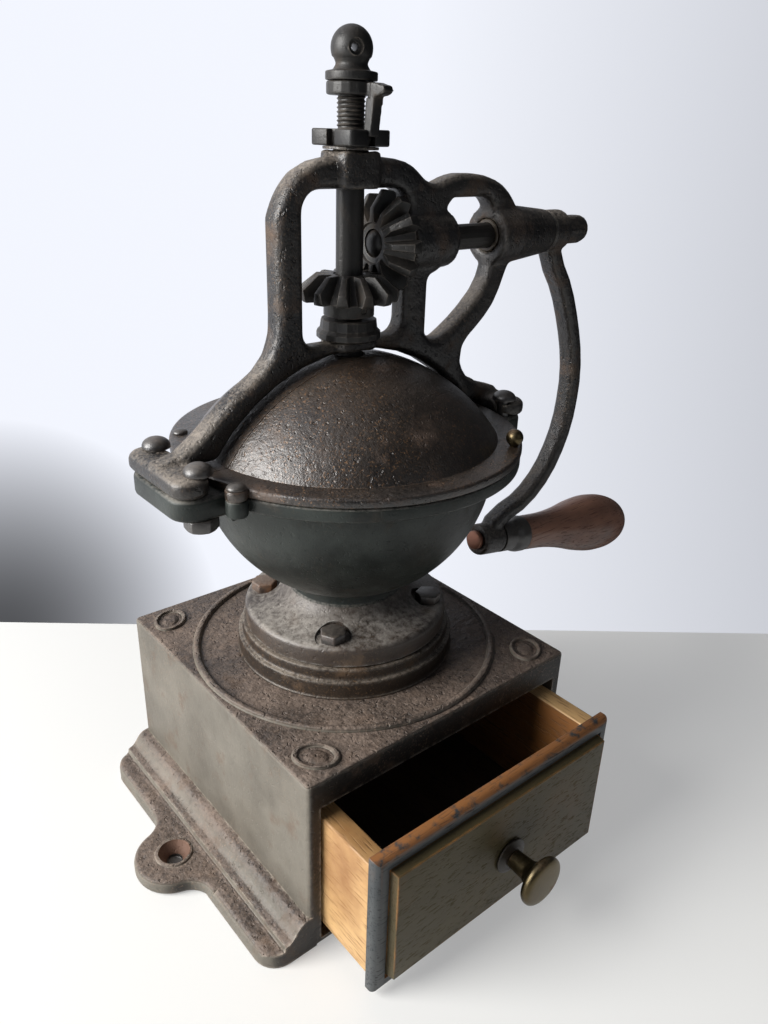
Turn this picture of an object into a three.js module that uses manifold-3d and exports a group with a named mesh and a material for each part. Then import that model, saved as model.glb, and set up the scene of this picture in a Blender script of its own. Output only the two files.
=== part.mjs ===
// Counter coffee grinder with a square cast base, round hopper, side crank and drawer.
// Millimetres, +Z up. The origin is the middle of the base on the ground, the drawer opens
// towards -Y and the crank is on the +X side. The frame stands in the XZ plane.
import * as THREE from 'three';
import { mergeVertices } from 'three/addons/utils/BufferGeometryUtils.js';
import Module from 'manifold-3d';

const wasm = await Module();
wasm.setup();

// Shared clearances and edges
const fit = 0.3;
const looseFit = 0.45;
const runningFit = 0.6;
const overrun = 3;
const smallEdge = 0.6;

// Base box
const baseHalfWidth = 100;
const baseHalfDepth = 101;
const baseHeight = 117;
const baseCorner = 7;
const baseRound = 3.5;
const baseWall = 8;
const baseTopWall = 17;
const baseFloor = 4;
const footReach = 27;
const footRise = 24.3;
const footCorner = 14;
const lugReach = 4;
const lugCentre = baseHalfWidth + footReach + lugReach;
const lugRadius = 24;
const lugHeight = 9.5;
const lugRound = 2.5;
const lugHoleRadius = 5;
const lugSeatRadius = 14;
const lugSeatDepth = 2.5;
const lugRootHalf = 44;
const topBeadInset = 5;
const topBeadRadius = baseHalfWidth - topBeadInset;
const topBeadHalf = 2.6;
const topBeadHeight = 2.4;
const medallionInset = 17.5;
const medallionX = baseHalfWidth - medallionInset;
const medallionY = baseHalfDepth - medallionInset;
const medallionHalfLong = 12.5;
const medallionHalfShort = 9.5;
const medallionBand = 2.2;
const medallionHeight = 1.6;
const railWidth = 13;

// Throat, waist and neck flange of the hopper
const throatRadius = 29;
const waistWall = 5.6;
const waistRadius = throatRadius + waistWall;
const waistFlare = 8;
const waistHeight = 10;
const waistLift = 1.312;
const neckSeatRadius = 10;
const neckBoltCircle = waistRadius + waistFlare + neckSeatRadius;
const neckBoltPlace = neckBoltCircle * Math.SQRT1_2;
const neckBoltRadius = 4;
const neckBoltFlats = 14;
const neckBoltHead = 9.5;
const neckBoltDepth = 22;
const neckFlangeEdge = 10.9;
const neckFlangeRadius = neckBoltCircle + neckFlangeEdge;
const neckFlangeHeight = 9.7;
const neckRound = 1.6;

// Pad on the base, and the outer burr held in it
const padUpperReach = 2.5;
const padLowerReach = 2.4;
const padUpperRadius = neckFlangeRadius + padUpperReach;
const padRadius = padUpperRadius + padLowerReach;
const padHeight = 20;
const padTop = baseHeight + padHeight;
const padStep = 11;
const padGroove = 3;
const throatStep = 1;
const burrMouthBottom = throatRadius - throatStep;
const burrMouthTop = 21.5;
const burrWall = 6.2;
const burrBodyRadius = burrMouthBottom + burrWall;
const burrFlangeReach = 9.8;
const burrFlangeRadius = burrBodyRadius + burrFlangeReach;
const burrFlangeHeight = 4.7;
const burrLength = 27;
const burrBottom = padTop - burrLength;

// Hopper bowl: a ball's lower half on the waist
const flangeTop = padTop + fit + neckFlangeHeight;
const waistBottom = flangeTop + waistFlare;
const waistTop = waistBottom + waistHeight;
const bowlRadius = 86.6;
const bowlWall = 4;
const bowlCentre = waistTop + waistLift + Math.sqrt(bowlRadius ** 2 - waistRadius ** 2);
const rimReach = 14.4;
const rimRadius = bowlRadius + rimReach;
const rimLift = 0.3;
const rimThick = 7.3;
const rimBottom = bowlCentre + rimLift;
const rimTop = rimBottom + rimThick;
const rimRound = 1.6;
const earLength = 23;
const earReach = rimRadius + earLength;
const earHalf = 31.5;
const earThick = 11.3;
const earBottom = rimTop - earThick;
const earCorner = 10;
const earTaper = 13;

// Domes, the lid's pivot and its knob
const domeFlangeThick = 5.2;
const domeFlangeReach = 0.5;
const domeFlangeRadius = rimRadius + domeFlangeReach;
const domeFlangeTop = rimTop + fit + domeFlangeThick;
const domeSeatReach = 0.874;
const domeSeatRadius = bowlRadius + domeSeatReach;
const domeRise = 45.6;
const domeRadius = (domeSeatRadius ** 2 + domeRise ** 2) / 2 / domeRise;
const domeCentre = domeFlangeTop + domeRise - domeRadius;
const domeWall = 3;
const lidSeam = 13;
const domeScrewInset = 5.7;
const domeScrewPlace = rimRadius - domeScrewInset;
const domeScrewDegrees = [31, 90, 149];
const domeScrewRadius = 2.2;
const domeScrewHead = 4.2;
const domeScrewHeadHeight = 2.2;
const pivotReach = 3.36;
const pivotDegrees = 21.65;
const pivotX = (rimRadius + pivotReach) * Math.cos(THREE.MathUtils.degToRad(pivotDegrees));
const pivotY = (rimRadius + pivotReach) * Math.sin(THREE.MathUtils.degToRad(pivotDegrees));
const pivotLug = 8;
const pivotRadius = 3;
const pivotHeadRadius = 7.2;
const pivotHeadHeight = 3.4;
const lidKnobInset = 4.2;
const lidKnobPlace = rimRadius - lidKnobInset;
const lidKnobDegrees = -52;
const lidKnobRadius = 4.9;
const lidKnobStem = 1.8;

// Mitre gears, shafts and bushes
const gearModule = 4.15;
const gearTeeth = 12;
const addendumShare = 0.9;
const dedendumShare = 1.15;
const gearFaceShare = 0.34;
const toothShare = 0.42;
const gapStartShare = 0.8;
const gapEndShare = 1.3;
const pressureAngle = 20;
const gearPlate = 0.225;
const gearRise = gearModule * addendumShare * Math.SQRT1_2;
const gearDrop = gearModule * dedendumShare * Math.SQRT1_2;
const gearRadius = gearModule * gearTeeth / 2;
const gearTip = gearRadius + gearRise;
const gearBack = gearRadius + gearDrop + gearPlate;
const spindleGearHub = 8;
const crankGearHub = 5.9;
const gearHubRadius = 14;
const gearPinRadius = 1.5;
const spindleRadius = 7.35;
const crankShaftRadius = 7.3;
const bushWall = 2;
const collarFlangeRadius = 17.9;
const collarFlangeHeight = 10.6;
const collarGap = 1.8;

// Frame: an arch over the domes, then what stands on it up to the crank's height
const domeGap = 2.3;
const domeClear = domeRadius + domeGap;
const archTop = domeCentre + domeClear;
const lowerBossHeight = 6.3;
const lowerBossTop = archTop + lowerBossHeight;
const collarTop = lowerBossTop + fit + collarFlangeHeight;
const crankHeight = collarTop + collarGap + spindleGearHub + gearBack;
const frameHalf = 8;
const frameEdge = 3.2;
const windowEdge = 2.6;
const footInset = 20.5;
const footInner = earReach - footInset;
const footThick = 10.4;
const footTop = rimTop + fit + footThick;
const footEdge = 2.5;
const footTipInset = 5;
const footTipRise = 3;
const footBackInset = 14.9;
const footEndInset = 3;
const footEndRise = 0.5;
const footShoulderInset = 23.5;
const footShoulderRise = 8.8;
const armUnderStep = 3;
const armUnderside = footTop - armUnderStep;
const windowLeft = 34;
const windowRight = gearBack + crankGearHub + runningFit;
const windowStep = 1;
const windowBottom = lowerBossTop - windowStep;
const windowHeadroom = 0.76;
const windowTop = crankHeight + gearTip + windowHeadroom;
const windowTopCorner = 11;
const windowBottomCorner = 8;
const bossHalf = 12;
const bossCorner = 3;
const topBossHeight = 18.1;
const topBossTop = windowTop + topBossHeight;
const earBoltInset = 15.5;
const earBoltX = earReach - earBoltInset;
const earBoltEdge = 8.8;
const earBoltY = earHalf - earBoltEdge;
const earBoltRadius = 4;
const earBoltHead = 7.4;
const earBoltHeadHeight = 5.6;
const earNutFlats = 15.6;
const earNutHeight = 7;

// Adjusting nut, lock ring and ball nut above the frame
const washerThick = 1.3;
const washerRadius = 11.6;
const thrustTop = topBossTop + fit + washerThick;
const nutSide = 29.4;
const nutHeight = 7.8;
const nutCorner = 2.6;
const nutNotches = 4;
const nutNotchWidth = 5.4;
const nutNotchDepth = 4;
const nutTurnAngle = 9;
const nutBottom = thrustTop + fit;
const nutTop = nutBottom + nutHeight;
const tailClear = 2.2;
const tailInner = nutSide / 2 - nutNotchDepth + tailClear;
const tailThick = 5.7;
const tailOuter = tailInner + tailThick;
const tailLugReach = 6.4;
const tailLug = tailOuter + tailLugReach;
const tailWidth = 4.4;
const tailDepth = 3.3;
const tailBottom = nutTop - tailDepth;
const ringRadius = tailInner - fit;
const ringHeight = 6.2;
const threadShown = 15.1;
const ringBottom = nutTop + threadShown;
const ringTop = ringBottom + ringHeight;
const ballCollarRadius = 13;
const ballCollarHeight = 4;
const ballNeckRadius = 8.5;
const ballRadius = 10.4;
const ballLift = 14.1;
const ballBottom = ringTop + fit;
const ballCentre = ballBottom + ballLift;
const tommyRadius = 3.4;
const tommyAzimuth = -115;

// Spindle, from the burr nut to the ball nut
const burrNutFlats = 20;
const burrNutHeight = 9;
const burrNutTop = burrBottom - smallEdge - fit;
const spindleTail = 2.9;
const spindleBottom = burrNutTop - burrNutHeight - spindleTail;
const spindleStep = ballBottom + smallEdge;
const spindleTipRadius = 5.2;
const spindleTipLength = 8.5;
const spindleTop = spindleStep + spindleTipLength;
const spindleHoleGap = 2.25;
const spindleHoleRadius = spindleRadius + spindleHoleGap;

// Inner burr and the auger
const innerBurrHeight = 24;
const innerBurrHub = 11;
const innerBurrFlutes = 9;
const outerBurrFlutes = 12;
const burrGap = 0.8;
const augerGap = 4;
const augerRadius = throatRadius - augerGap;
const augerSleeve = 11;
const augerVane = 5;
const augerHeight = 30;
const augerTwist = 160;

// Crank bosses, arm, end nut and handle
const shaftEnd = 17.4;
const innerBossStart = windowRight;
const innerBossLength = 33.5;
const innerBossEnd = innerBossStart + innerBossLength;
const innerBossRadius = 16;
const outerBossInset = 20;
const outerBossStart = earReach - outerBossInset;
const outerBossLength = 51;
const outerBossEnd = outerBossStart + outerBossLength;
const outerBossRadius = 17.3;
const outerBossTip = 13.6;
const crankHubFit = 0.5;
const hubLength = 15.5;
const hubEnd = outerBossEnd + crankHubFit + hubLength;
const hubRadius = 13;
const shaftTipRadius = 6;
const shaftTipLength = 19;
const shaftTip = hubEnd + shaftTipLength;
const endNutLength = 25.7;
const endNutRadius = 9.4;
const endNutHexShare = 1.06;
const endNutShoulderShare = 0.86;
const armWide = 14.4;
const armThick = 11;
const armRound = 3.4;
const armDrop = 210.4;
const armBow = 45;
const pinHeadInset = 56;
const pinHeadX = hubEnd - pinHeadInset;
const pinHeadZ = crankHeight - armDrop;
const gripTilt = 10;
const pinHeadRadius = 6.8;
const pinHeadThick = 4;
const pinRadius = 4.2;
const pinLength = 150;
const eyeRadius = 11.6;
const eyeLength = 21;
const ferruleRadius = 13.5;
const ferruleTip = 11.6;
const ferruleLength = 25.2;
const ferruleParts = 8;
const gripLength = 128.7;
const gripNeck = 13;
const gripBulb = 23;

// Drawer, shown pulled open by drawerPull
const drawerPull = 51;
const panelGap = 0.7;
const panelHalf = baseHalfWidth - baseWall - panelGap;
const panelFloorGap = 0.5;
const panelBottom = baseFloor + panelFloorGap;
const panelTopGap = 2;
const panelTop = baseHeight - baseTopWall - panelTopGap;
const panelThick = 12.5;
const panelBevel = 7.3;
const sideGap = 1.5;
const sideThick = 12;
const sideHalf = baseHalfWidth - baseWall - sideGap;
const sideLift = 9.5;
const sideBottom = panelBottom + sideLift;
const sideDrop = 6;
const sideTop = panelTop - sideDrop;
const railTop = sideBottom - fit;
const drawerBackGap = 2.2;
const drawerLength = 2 * baseHalfDepth - panelThick - fit - baseWall - drawerBackGap;
const bottomThick = 5;
const knobX = 2.5;
const knobDrop = 3.25;
const knobZ = (panelBottom + panelTop) / 2 - knobDrop;
const rosetteRadius = 11;
const rosetteThick = 3;
const rosetteStepShare = 0.8;
const rosetteFaceShare = 0.6;
const rosetteRiseShare = 0.7;
const knobRadius = 14.8;
const knobStem = 5.4;
const knobLength = 22.5;
const knobScrewRadius = 2;
const knobScrewHead = 5;
const knobScrewHeadThick = 2.6;
const knobScrewReach = 10;

// Counts of sides and steps
const fineSides = 32;
const sides = 18;
const smallSides = 8;
const tinySides = 8;
const knobSides = 20;
const hexSides = 6;
const domeSteps = 6;
const ballSteps = 7;
const knobSteps = 8;
const beadSteps = 3;
const archSteps = 12;
const armSteps = 20;
const augerSteps = 8;

// The frame's outer edge between its feet, right to left. Across in shares of the ear's reach; up
// from 0 at the rim to 1 at the arch's top, 2 at the crank's height and 3 at the top boss
const frameRightShares = [
  [0.787, 0.408], [0.734, 0.463], [0.698, 0.566], [0.677, 0.669], [0.685, 0.837], [0.718, 0.931],
  [0.77, 1.023], [0.823, 1.123], [0.879, 1.258], [0.919, 1.42], [0.948, 1.582], [0.976, 1.717],
  [0.994, 2.358], [0.968, 2.446], [0.935, 2.534], [0.888, 2.621], [0.837, 2.681], [0.767, 2.731],
  [0.7, 2.754], [0.603, 2.756], [0.541, 2.724], [0.493, 2.679], [0.457, 2.647], [0.42, 2.659],
  [0.383, 2.705], [0.346, 2.782], [0.31, 2.847], [0.269, 2.89], [0.212, 2.92], [0.097, 2.948],
];
const frameLeftShares = [
  [-0.097, 2.944], [-0.207, 2.89], [-0.246, 2.841], [-0.29, 2.782], [-0.323, 2.694],
  [-0.348, 2.614], [-0.371, 2.513], [-0.399, 2.341], [-0.399, 1.42], [-0.403, 1.258],
  [-0.415, 1.168], [-0.435, 1.059], [-0.492, 0.912], [-0.556, 0.818], [-0.617, 0.734],
  [-0.669, 0.631], [-0.718, 0.537], [-0.766, 0.444],
];
// The window that the crank shaft crosses, in the same shares
const sideWindowShares = [
  [0.423, 1.059], [0.46, 0.987], [0.524, 0.978], [0.585, 1.059], [0.653, 1.159], [0.718, 1.276],
  [0.786, 1.42], [0.827, 1.564], [0.847, 1.708], [0.843, 1.87], [0.828, 2.345], [0.805, 2.42],
  [0.774, 2.481], [0.565, 2.481], [0.527, 2.384], [0.527, 1.78], [0.484, 1.69], [0.435, 1.654],
  [0.423, 1.6],
];
// The foot's moulded section, in shares of its reach and rise
const footShares = [
  [1, 0], [1, 0.226], [0.944, 0.329], [0.833, 0.391], [0.63, 0.412], [0.574, 0.473],
  [0.556, 0.556], [0.444, 0.597], [0.352, 0.7], [0.259, 0.844], [0.148, 0.947], [0, 1],
];
// The crank arm's middle line, in shares of its way down from hub to eye and of its bow
const armShares = [
  [0, 0.001], [0.039, 0.046], [0.09, 0.173], [0.179, 0.538], [0.284, 0.855], [0.398, 1.127],
  [0.489, 1.263], [0.574, 1.315], [0.635, 1.321], [0.715, 1.261], [0.816, 1.053], [0.893, 0.666],
  [0.919, 0.308], [0.947, 0.074], [1, 0],
];
// Shares of the grip's length and bulb radius along the pear shape
const gripShares = [
  [0.02, 0.57], [0.2, 0.6], [0.36, 0.72], [0.5, 0.89], [0.62, 0.99], [0.7, 1], [0.79, 0.96],
  [0.88, 0.82], [0.95, 0.58], [0.985, 0.34], [1, 0.16],
];
// Shares of the knob's length and radius, rosette to face
const knobShares = [
  [0.32, 0.4], [0.5, 0.44], [0.66, 0.62], [0.74, 0.9], [0.8, 0.985], [0.86, 1], [0.93, 0.97],
  [0.98, 0.86], [1, 0.7],
];
// Shares of a quarter turn along the waist's flare and a bolt's domed head
const flareShares = [0, 0.35, 0.7, 1];
const headTurnShares = [0.15, 0.5, 0.8];
const headBandShare = 0.2;

const up = new THREE.Vector3(0, 0, 1);
const along = new THREE.Vector3(1, 0, 0);
const front = new THREE.Vector3(0, -1, 0);
const tiltAngle = THREE.MathUtils.degToRad(gripTilt);
const gripAxis = new THREE.Vector3(Math.cos(tiltAngle), 0, -Math.sin(tiltAngle));
const pinHead = [pinHeadX, 0, pinHeadZ];

const paints = {
  iron: { color: 0x4a4640, metalness: 0.7, roughness: 0.7 },
  bowl: { color: 0x5a625e, metalness: 0.5, roughness: 0.6 },
  steel: { color: 0x8a857c, metalness: 0.9, roughness: 0.45 },
  rusty: { color: 0x7a5540, metalness: 0.6, roughness: 0.7 },
  copper: { color: 0xb0704a, metalness: 0.9, roughness: 0.4 },
  brass: { color: 0xc09a50, metalness: 1, roughness: 0.3 },
  paleWood: { color: 0xc98f4e, metalness: 0, roughness: 0.6 },
  darkWood: { color: 0x5a4030, metalness: 0, roughness: 0.7 },
  redWood: { color: 0x7c3a22, metalness: 0, roughness: 0.4 },
};

const grinder = new THREE.Group();

// A closed geometry as a solid that can be joined and cut
function solidOf(geometry) {
  const bare = geometry.clone();
  for (const name of ['normal', 'uv']) {
    bare.deleteAttribute(name);
  }
  const merged = mergeVertices(bare);
  const index = merged.index.array;
  const kept = [];
  for (let i = 0; i < index.length; i += 3) {
    const [a, b, c] = index.slice(i, i + 3);
    if (a !== b && b !== c && c !== a) {
      kept.push(a, b, c);
    }
  }
  const vertProperties = new Float32Array(merged.attributes.position.array);
  const triVerts = new Uint32Array(kept);
  return new wasm.Manifold(new wasm.Mesh({ numProp: 3, vertProperties, triVerts }));
}

// A solid as a named mesh of the grinder
function addPiece(name, solid, paint) {
  const mesh = solid.getMesh();
  const geometry = new THREE.BufferGeometry();
  const positions = new Float32Array(mesh.vertProperties);
  geometry.setAttribute('position', new THREE.BufferAttribute(positions, 3));
  geometry.setIndex(new THREE.BufferAttribute(new Uint32Array(mesh.triVerts), 1));
  geometry.computeVertexNormals();
  const piece = new THREE.Mesh(geometry, new THREE.MeshStandardMaterial(paint));
  piece.name = name;
  grinder.add(piece);
}

// A geometry made about +Z, turned to an axis and moved to a place
function placed(geometry, origin, axis) {
  const turn = new THREE.Quaternion().setFromUnitVectors(up, axis);
  geometry.applyQuaternion(turn);
  geometry.translate(...origin);
  return solidOf(geometry);
}

// A closed profile of [radius, height] pairs, turned about an axis
function turned(profile, count, origin = [0, 0, 0], axis = up) {
  const points = profile.map(([radius, height]) => new THREE.Vector2(radius, height));
  if (THREE.ShapeUtils.area(points) < 0) {
    points.reverse();
  }
  points.push(points[0].clone());
  const geometry = new THREE.LatheGeometry(points, count);
  geometry.rotateX(Math.PI / 2);
  return placed(geometry, origin, axis);
}

// A round bar with softened ends
function rod(radius, low, high, count, origin, axis, edge = 0) {
  const profile = [[0, low], [radius - edge, low], [radius, low + edge]];
  profile.push([radius, high - edge], [radius - edge, high], [0, high]);
  const plain = [[0, low], [radius, low], [radius, high], [0, high]];
  return turned(edge > 0 ? profile : plain, count, origin, axis);
}

// A round tube with softened outer ends
function tube(outer, inner, low, high, count, origin, axis, edge = smallEdge) {
  const profile = [[inner, low], [outer - edge, low], [outer, low + edge]];
  profile.push([outer, high - edge], [outer - edge, high], [inner, high]);
  return turned(profile, count, origin, axis);
}

// A rectangle with round corners
function roundedShape(left, right, bottom, top, corner) {
  const shape = new THREE.Shape();
  shape.absarc(right - corner, top - corner, corner, 0, Math.PI / 2);
  shape.absarc(left + corner, top - corner, corner, Math.PI / 2, Math.PI);
  shape.absarc(left + corner, bottom + corner, corner, Math.PI, 1.5 * Math.PI);
  shape.absarc(right - corner, bottom + corner, corner, 1.5 * Math.PI, 2 * Math.PI);
  return shape;
}

// An outline with its repeated points left out
function tidied(shape, divisions) {
  const kept = [];
  for (const point of shape.getPoints(divisions)) {
    if (kept.every((other) => other.distanceTo(point) > fit / 10)) {
      kept.push(point);
    }
  }
  return new THREE.Shape(kept);
}

// An outline pushed up from low to high, with rounded rims
function raised(shape, low, high, rim = 0, curveSegments = 4, bevelSegments = 2) {
  const geometry = new THREE.ExtrudeGeometry(tidied(shape, curveSegments), {
    depth: high - low - 2 * rim,
    bevelEnabled: rim > 0,
    bevelThickness: rim,
    bevelSize: rim,
    bevelOffset: -rim,
    bevelSegments,
  });
  geometry.translate(0, 0, low + rim);
  return geometry;
}

// A box between two corners
function block(low, high) {
  const size = high.map((value, i) => value - low[i]);
  const geometry = new THREE.BoxGeometry(...size);
  geometry.translate(...high.map((value, i) => (value + low[i]) / 2));
  return solidOf(geometry);
}

// A six-sided bar by its width across flats
function hexBar(flats, low, high, origin, axis) {
  const radius = flats / 2 / Math.cos(Math.PI / 6);
  const chamfer = radius - flats / 2;
  const bar = rod(radius, low, high, hexSides, origin, axis);
  const cap = rod(radius, low, high, 2 * hexSides, origin, axis, chamfer);
  return bar.intersect(cap);
}

function signPairs() {
  return [[1, 1], [-1, 1], [-1, -1], [1, -1]];
}

// Cast base: box with drawer space, foot flanges, lugs, bead, medallions and neck pad
function makeBase() {
  const wide = baseHalfWidth;
  const deep = baseHalfDepth;
  const outline = roundedShape(-wide, wide, -deep, deep, baseCorner);
  let body = solidOf(raised(outline, -overrun - baseRound, baseHeight, baseRound, 2, 1));
  const section = new THREE.Shape();
  const right = footShares.map(([x, z]) => [wide + x * footReach, z * footRise]);
  const left = right.map(([x, z]) => [-x, z]).reverse();
  for (const [i, [x, z]] of [...right, ...left].entries()) {
    if (i === 0) {
      section.moveTo(x, z);
    } else {
      section.lineTo(x, z);
    }
  }
  const flangeGeometry = new THREE.ExtrudeGeometry(section, { depth: 2 * deep, bevelEnabled: false });
  flangeGeometry.rotateX(Math.PI / 2);
  flangeGeometry.translate(0, deep, 0);
  const reach = wide + footReach;
  const plan = solidOf(raised(
    roundedShape(-reach, reach, -deep, deep, footCorner), -overrun, baseHeight / 2, 0, 3));
  body = body.add(solidOf(flangeGeometry).intersect(plan));
  for (const side of [1, -1]) {
    body = body.add(makeLug(side));
  }
  for (const side of [1, -1]) {
    const hole = [side * lugCentre, 0, 0];
    body = body.subtract(rod(lugHoleRadius, -overrun, lugHeight + overrun, smallSides, hole, up));
    body = body.subtract(rod(lugSeatRadius, lugHeight - lugSeatDepth, baseHeight / 4, sides, hole, up));
  }
  body = body.add(makeTopBead());
  body = body.add(makePad());
  for (const [x, y] of signPairs()) {
    body = body.add(makeMedallion(x, y));
  }
  const inside = wide - baseWall;
  const ceiling = baseHeight - baseTopWall;
  body = body.subtract(block([-inside, -deep - overrun, baseFloor], [inside, deep - baseWall, ceiling]));
  const railFront = -deep + panelThick + fit;
  for (const side of [1, -1]) {
    const near = side * (inside - railWidth);
    const far = side * (inside + baseWall / 2);
    const low = [Math.min(near, far), railFront, baseFloor / 2];
    const high = [Math.max(near, far), deep - baseWall / 2, railTop];
    body = body.add(block(low, high));
  }
  const middle = [0, 0, 0];
  const top = padTop + overrun;
  body = body.subtract(rod(burrBodyRadius + fit, ceiling - overrun, top, sides, middle, up));
  body = body.subtract(rod(burrFlangeRadius + fit, padTop - burrFlangeHeight, top, sides, middle, up));
  const boltBottom = padTop - neckBoltDepth - looseFit;
  for (const [x, y] of signPairs()) {
    const at = [x * neckBoltPlace, y * neckBoltPlace, 0];
    body = body.subtract(rod(neckBoltRadius + fit, boltBottom, top, tinySides, at, up));
  }
  return body.subtract(block([-2 * wide, -2 * deep, -baseHeight], [2 * wide, 2 * deep, 0]));
}

// A screw lug that grows out of the foot flange with a flared root
function makeLug(side) {
  const shape = new THREE.Shape();
  const root = baseHalfWidth + footReach / 2;
  const flare = (root + lugCentre) / 2;
  shape.moveTo(root, -lugRootHalf);
  shape.bezierCurveTo(lugCentre, -lugRootHalf, flare, -lugRadius, lugCentre, -lugRadius);
  shape.absarc(lugCentre, 0, lugRadius, -Math.PI / 2, Math.PI / 2);
  shape.bezierCurveTo(flare, lugRadius, lugCentre, lugRootHalf, root, lugRootHalf);
  const geometry = raised(shape, -overrun, lugHeight, lugRound, 6, 1);
  if (side < 0) {
    geometry.rotateZ(Math.PI);
  }
  return solidOf(geometry);
}

// A ring with a round top
function beadProfile(middle, half, low, base, height) {
  const profile = [[middle - half, low], [middle + half, low]];
  for (let i = 0; i <= beadSteps; i += 1) {
    const angle = Math.PI * i / beadSteps;
    profile.push([middle + half * Math.cos(angle), base + height * Math.sin(angle)]);
  }
  return profile;
}

function makeTopBead() {
  const low = baseHeight - overrun;
  return turned(beadProfile(topBeadRadius, topBeadHalf, low, baseHeight, topBeadHeight), fineSides);
}

function makeMedallion(sideX, sideY) {
  const half = medallionBand / 2;
  const top = baseHeight + medallionHeight;
  const points = [
    [medallionHalfShort - half, baseHeight - overrun], [medallionHalfShort + half, baseHeight - overrun],
    [medallionHalfShort + half / 2, top], [medallionHalfShort - half / 2, top],
    [medallionHalfShort - half, baseHeight - overrun],
  ].map(([radius, height]) => new THREE.Vector2(radius, height));
  const geometry = new THREE.LatheGeometry(points, sides);
  geometry.rotateX(Math.PI / 2);
  geometry.scale(medallionHalfLong / medallionHalfShort, 1, 1);
  geometry.rotateZ(-sideX * sideY * Math.PI / 4);
  geometry.translate(sideX * medallionX, sideY * medallionY, 0);
  return solidOf(geometry);
}

// The round pad under the neck, two beads with a groove between
function makePad() {
  const low = baseHeight - overrun;
  const step = baseHeight + padStep;
  const inner = padUpperRadius - padGroove;
  const rim = (padTop - step) / 4;
  return turned([
    [0, low], [padRadius, low], [padRadius, step - 2 * rim], [padRadius - rim, step - rim / 2],
    [inner, step], [inner, step + rim], [padUpperRadius - rim / 2, step + 1.5 * rim],
    [padUpperRadius, step + 2.2 * rim], [padUpperRadius, padTop - rim / 2],
    [padUpperRadius - rim / 2, padTop], [0, padTop],
  ], fineSides);
}

// Cast hopper bowl with neck flange, waist, round wall, rim and ears
function makeBowl() {
  const flangeBottom = padTop + fit;
  const inner = bowlRadius - bowlWall;
  const outerStart = Math.asin(waistRadius / bowlRadius);
  const innerStart = Math.asin(throatRadius / inner);
  const innerEnd = Math.PI / 2 + Math.asin((rimTop - bowlCentre) / inner);
  const profile = [[throatRadius, flangeBottom], [neckFlangeRadius - neckRound, flangeBottom]];
  profile.push([neckFlangeRadius, flangeBottom + neckRound], [neckFlangeRadius, flangeTop - neckRound]);
  profile.push([neckFlangeRadius - neckRound, flangeTop]);
  for (const share of flareShares) {
    const angle = share * Math.PI / 2;
    const out = waistFlare * (1 - Math.sin(angle));
    const rise = waistFlare * (1 - Math.cos(angle));
    profile.push([waistRadius + out, flangeTop + rise]);
  }
  profile.push([waistRadius, waistTop]);
  const steps = domeSteps;
  for (let i = 0; i <= steps; i += 1) {
    const angle = outerStart + (Math.PI / 2 - outerStart) * i / steps;
    profile.push([bowlRadius * Math.sin(angle), bowlCentre - bowlRadius * Math.cos(angle)]);
  }
  profile.push([bowlRadius, rimBottom], [rimRadius - rimRound, rimBottom]);
  profile.push([rimRadius, rimBottom + rimRound]);
  profile.push([rimRadius, rimTop - rimRound], [rimRadius - rimRound, rimTop]);
  for (let i = steps; i >= 0; i -= 1) {
    const angle = innerStart + (innerEnd - innerStart) * i / steps;
    profile.push([inner * Math.sin(angle), bowlCentre - inner * Math.cos(angle)]);
  }
  let body = turned(profile, fineSides);
  const hollow = rod(inner - fit, bowlCentre - bowlRadius, rimTop + overrun, fineSides, [0, 0, 0], up);
  for (const side of [1, -1]) {
    body = body.add(makeEar(side).subtract(hollow));
  }
  const lugAt = [-pivotX, -pivotY, 0];
  const lug = rod(pivotLug, rimBottom - rimRound, rimTop, sides, lugAt, up, smallEdge);
  body = body.add(lug.subtract(hollow));
  const under = rimBottom - overrun;
  const above = rimTop + overrun;
  body = body.subtract(rod(pivotRadius + fit, under, above, smallSides, lugAt, up));
  const neckHole = neckBoltRadius + fit;
  for (const [x, y] of signPairs()) {
    const at = [x * neckBoltPlace, y * neckBoltPlace, 0];
    body = body.subtract(rod(neckHole, flangeBottom - overrun, flangeTop + overrun, tinySides, at, up));
    body = body.subtract(rod(neckSeatRadius, flangeTop, waistTop, smallSides, at, up));
    const bolt = [x * earBoltX, y * earBoltY, 0];
    body = body.subtract(rod(earBoltRadius + fit, earBottom - overrun, above, tinySides, bolt, up));
  }
  for (const at of domeScrewPlaces()) {
    body = body.subtract(rod(domeScrewRadius + fit, under, above, tinySides, at, up));
  }
  return body;
}

// An ear under the frame's foot, thinner towards the bowl
function makeEar(side) {
  const shape = roundedShape(bowlRadius, earReach, -earHalf, earHalf, earCorner);
  const geometry = raised(shape, earBottom, rimTop, footEdge, 2, 1);
  if (side < 0) {
    geometry.rotateZ(Math.PI);
  }
  const web = new THREE.Shape();
  const wallAt = Math.sqrt(bowlRadius ** 2 - earTaper ** 2);
  web.moveTo(wallAt - bowlWall, earBottom + fit);
  web.lineTo(wallAt - bowlWall, earBottom - earTaper);
  web.lineTo(bowlRadius, earBottom - earTaper);
  const webReach = earBoltX - earNutFlats;
  web.quadraticCurveTo(bowlRadius + bowlWall, earBottom - fit, webReach, earBottom + fit);
  const webGeometry = new THREE.ExtrudeGeometry(web, {
    depth: 2 * earTaper, bevelEnabled: false, curveSegments: 3,
  });
  webGeometry.rotateX(Math.PI / 2);
  webGeometry.translate(0, earTaper, 0);
  if (side < 0) {
    webGeometry.rotateZ(Math.PI);
  }
  return solidOf(geometry).add(solidOf(webGeometry));
}

function domeScrewPlaces() {
  return domeScrewDegrees.map((degrees) => {
    const angle = THREE.MathUtils.degToRad(degrees);
    return [domeScrewPlace * Math.cos(angle), domeScrewPlace * Math.sin(angle), 0];
  });
}

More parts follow.
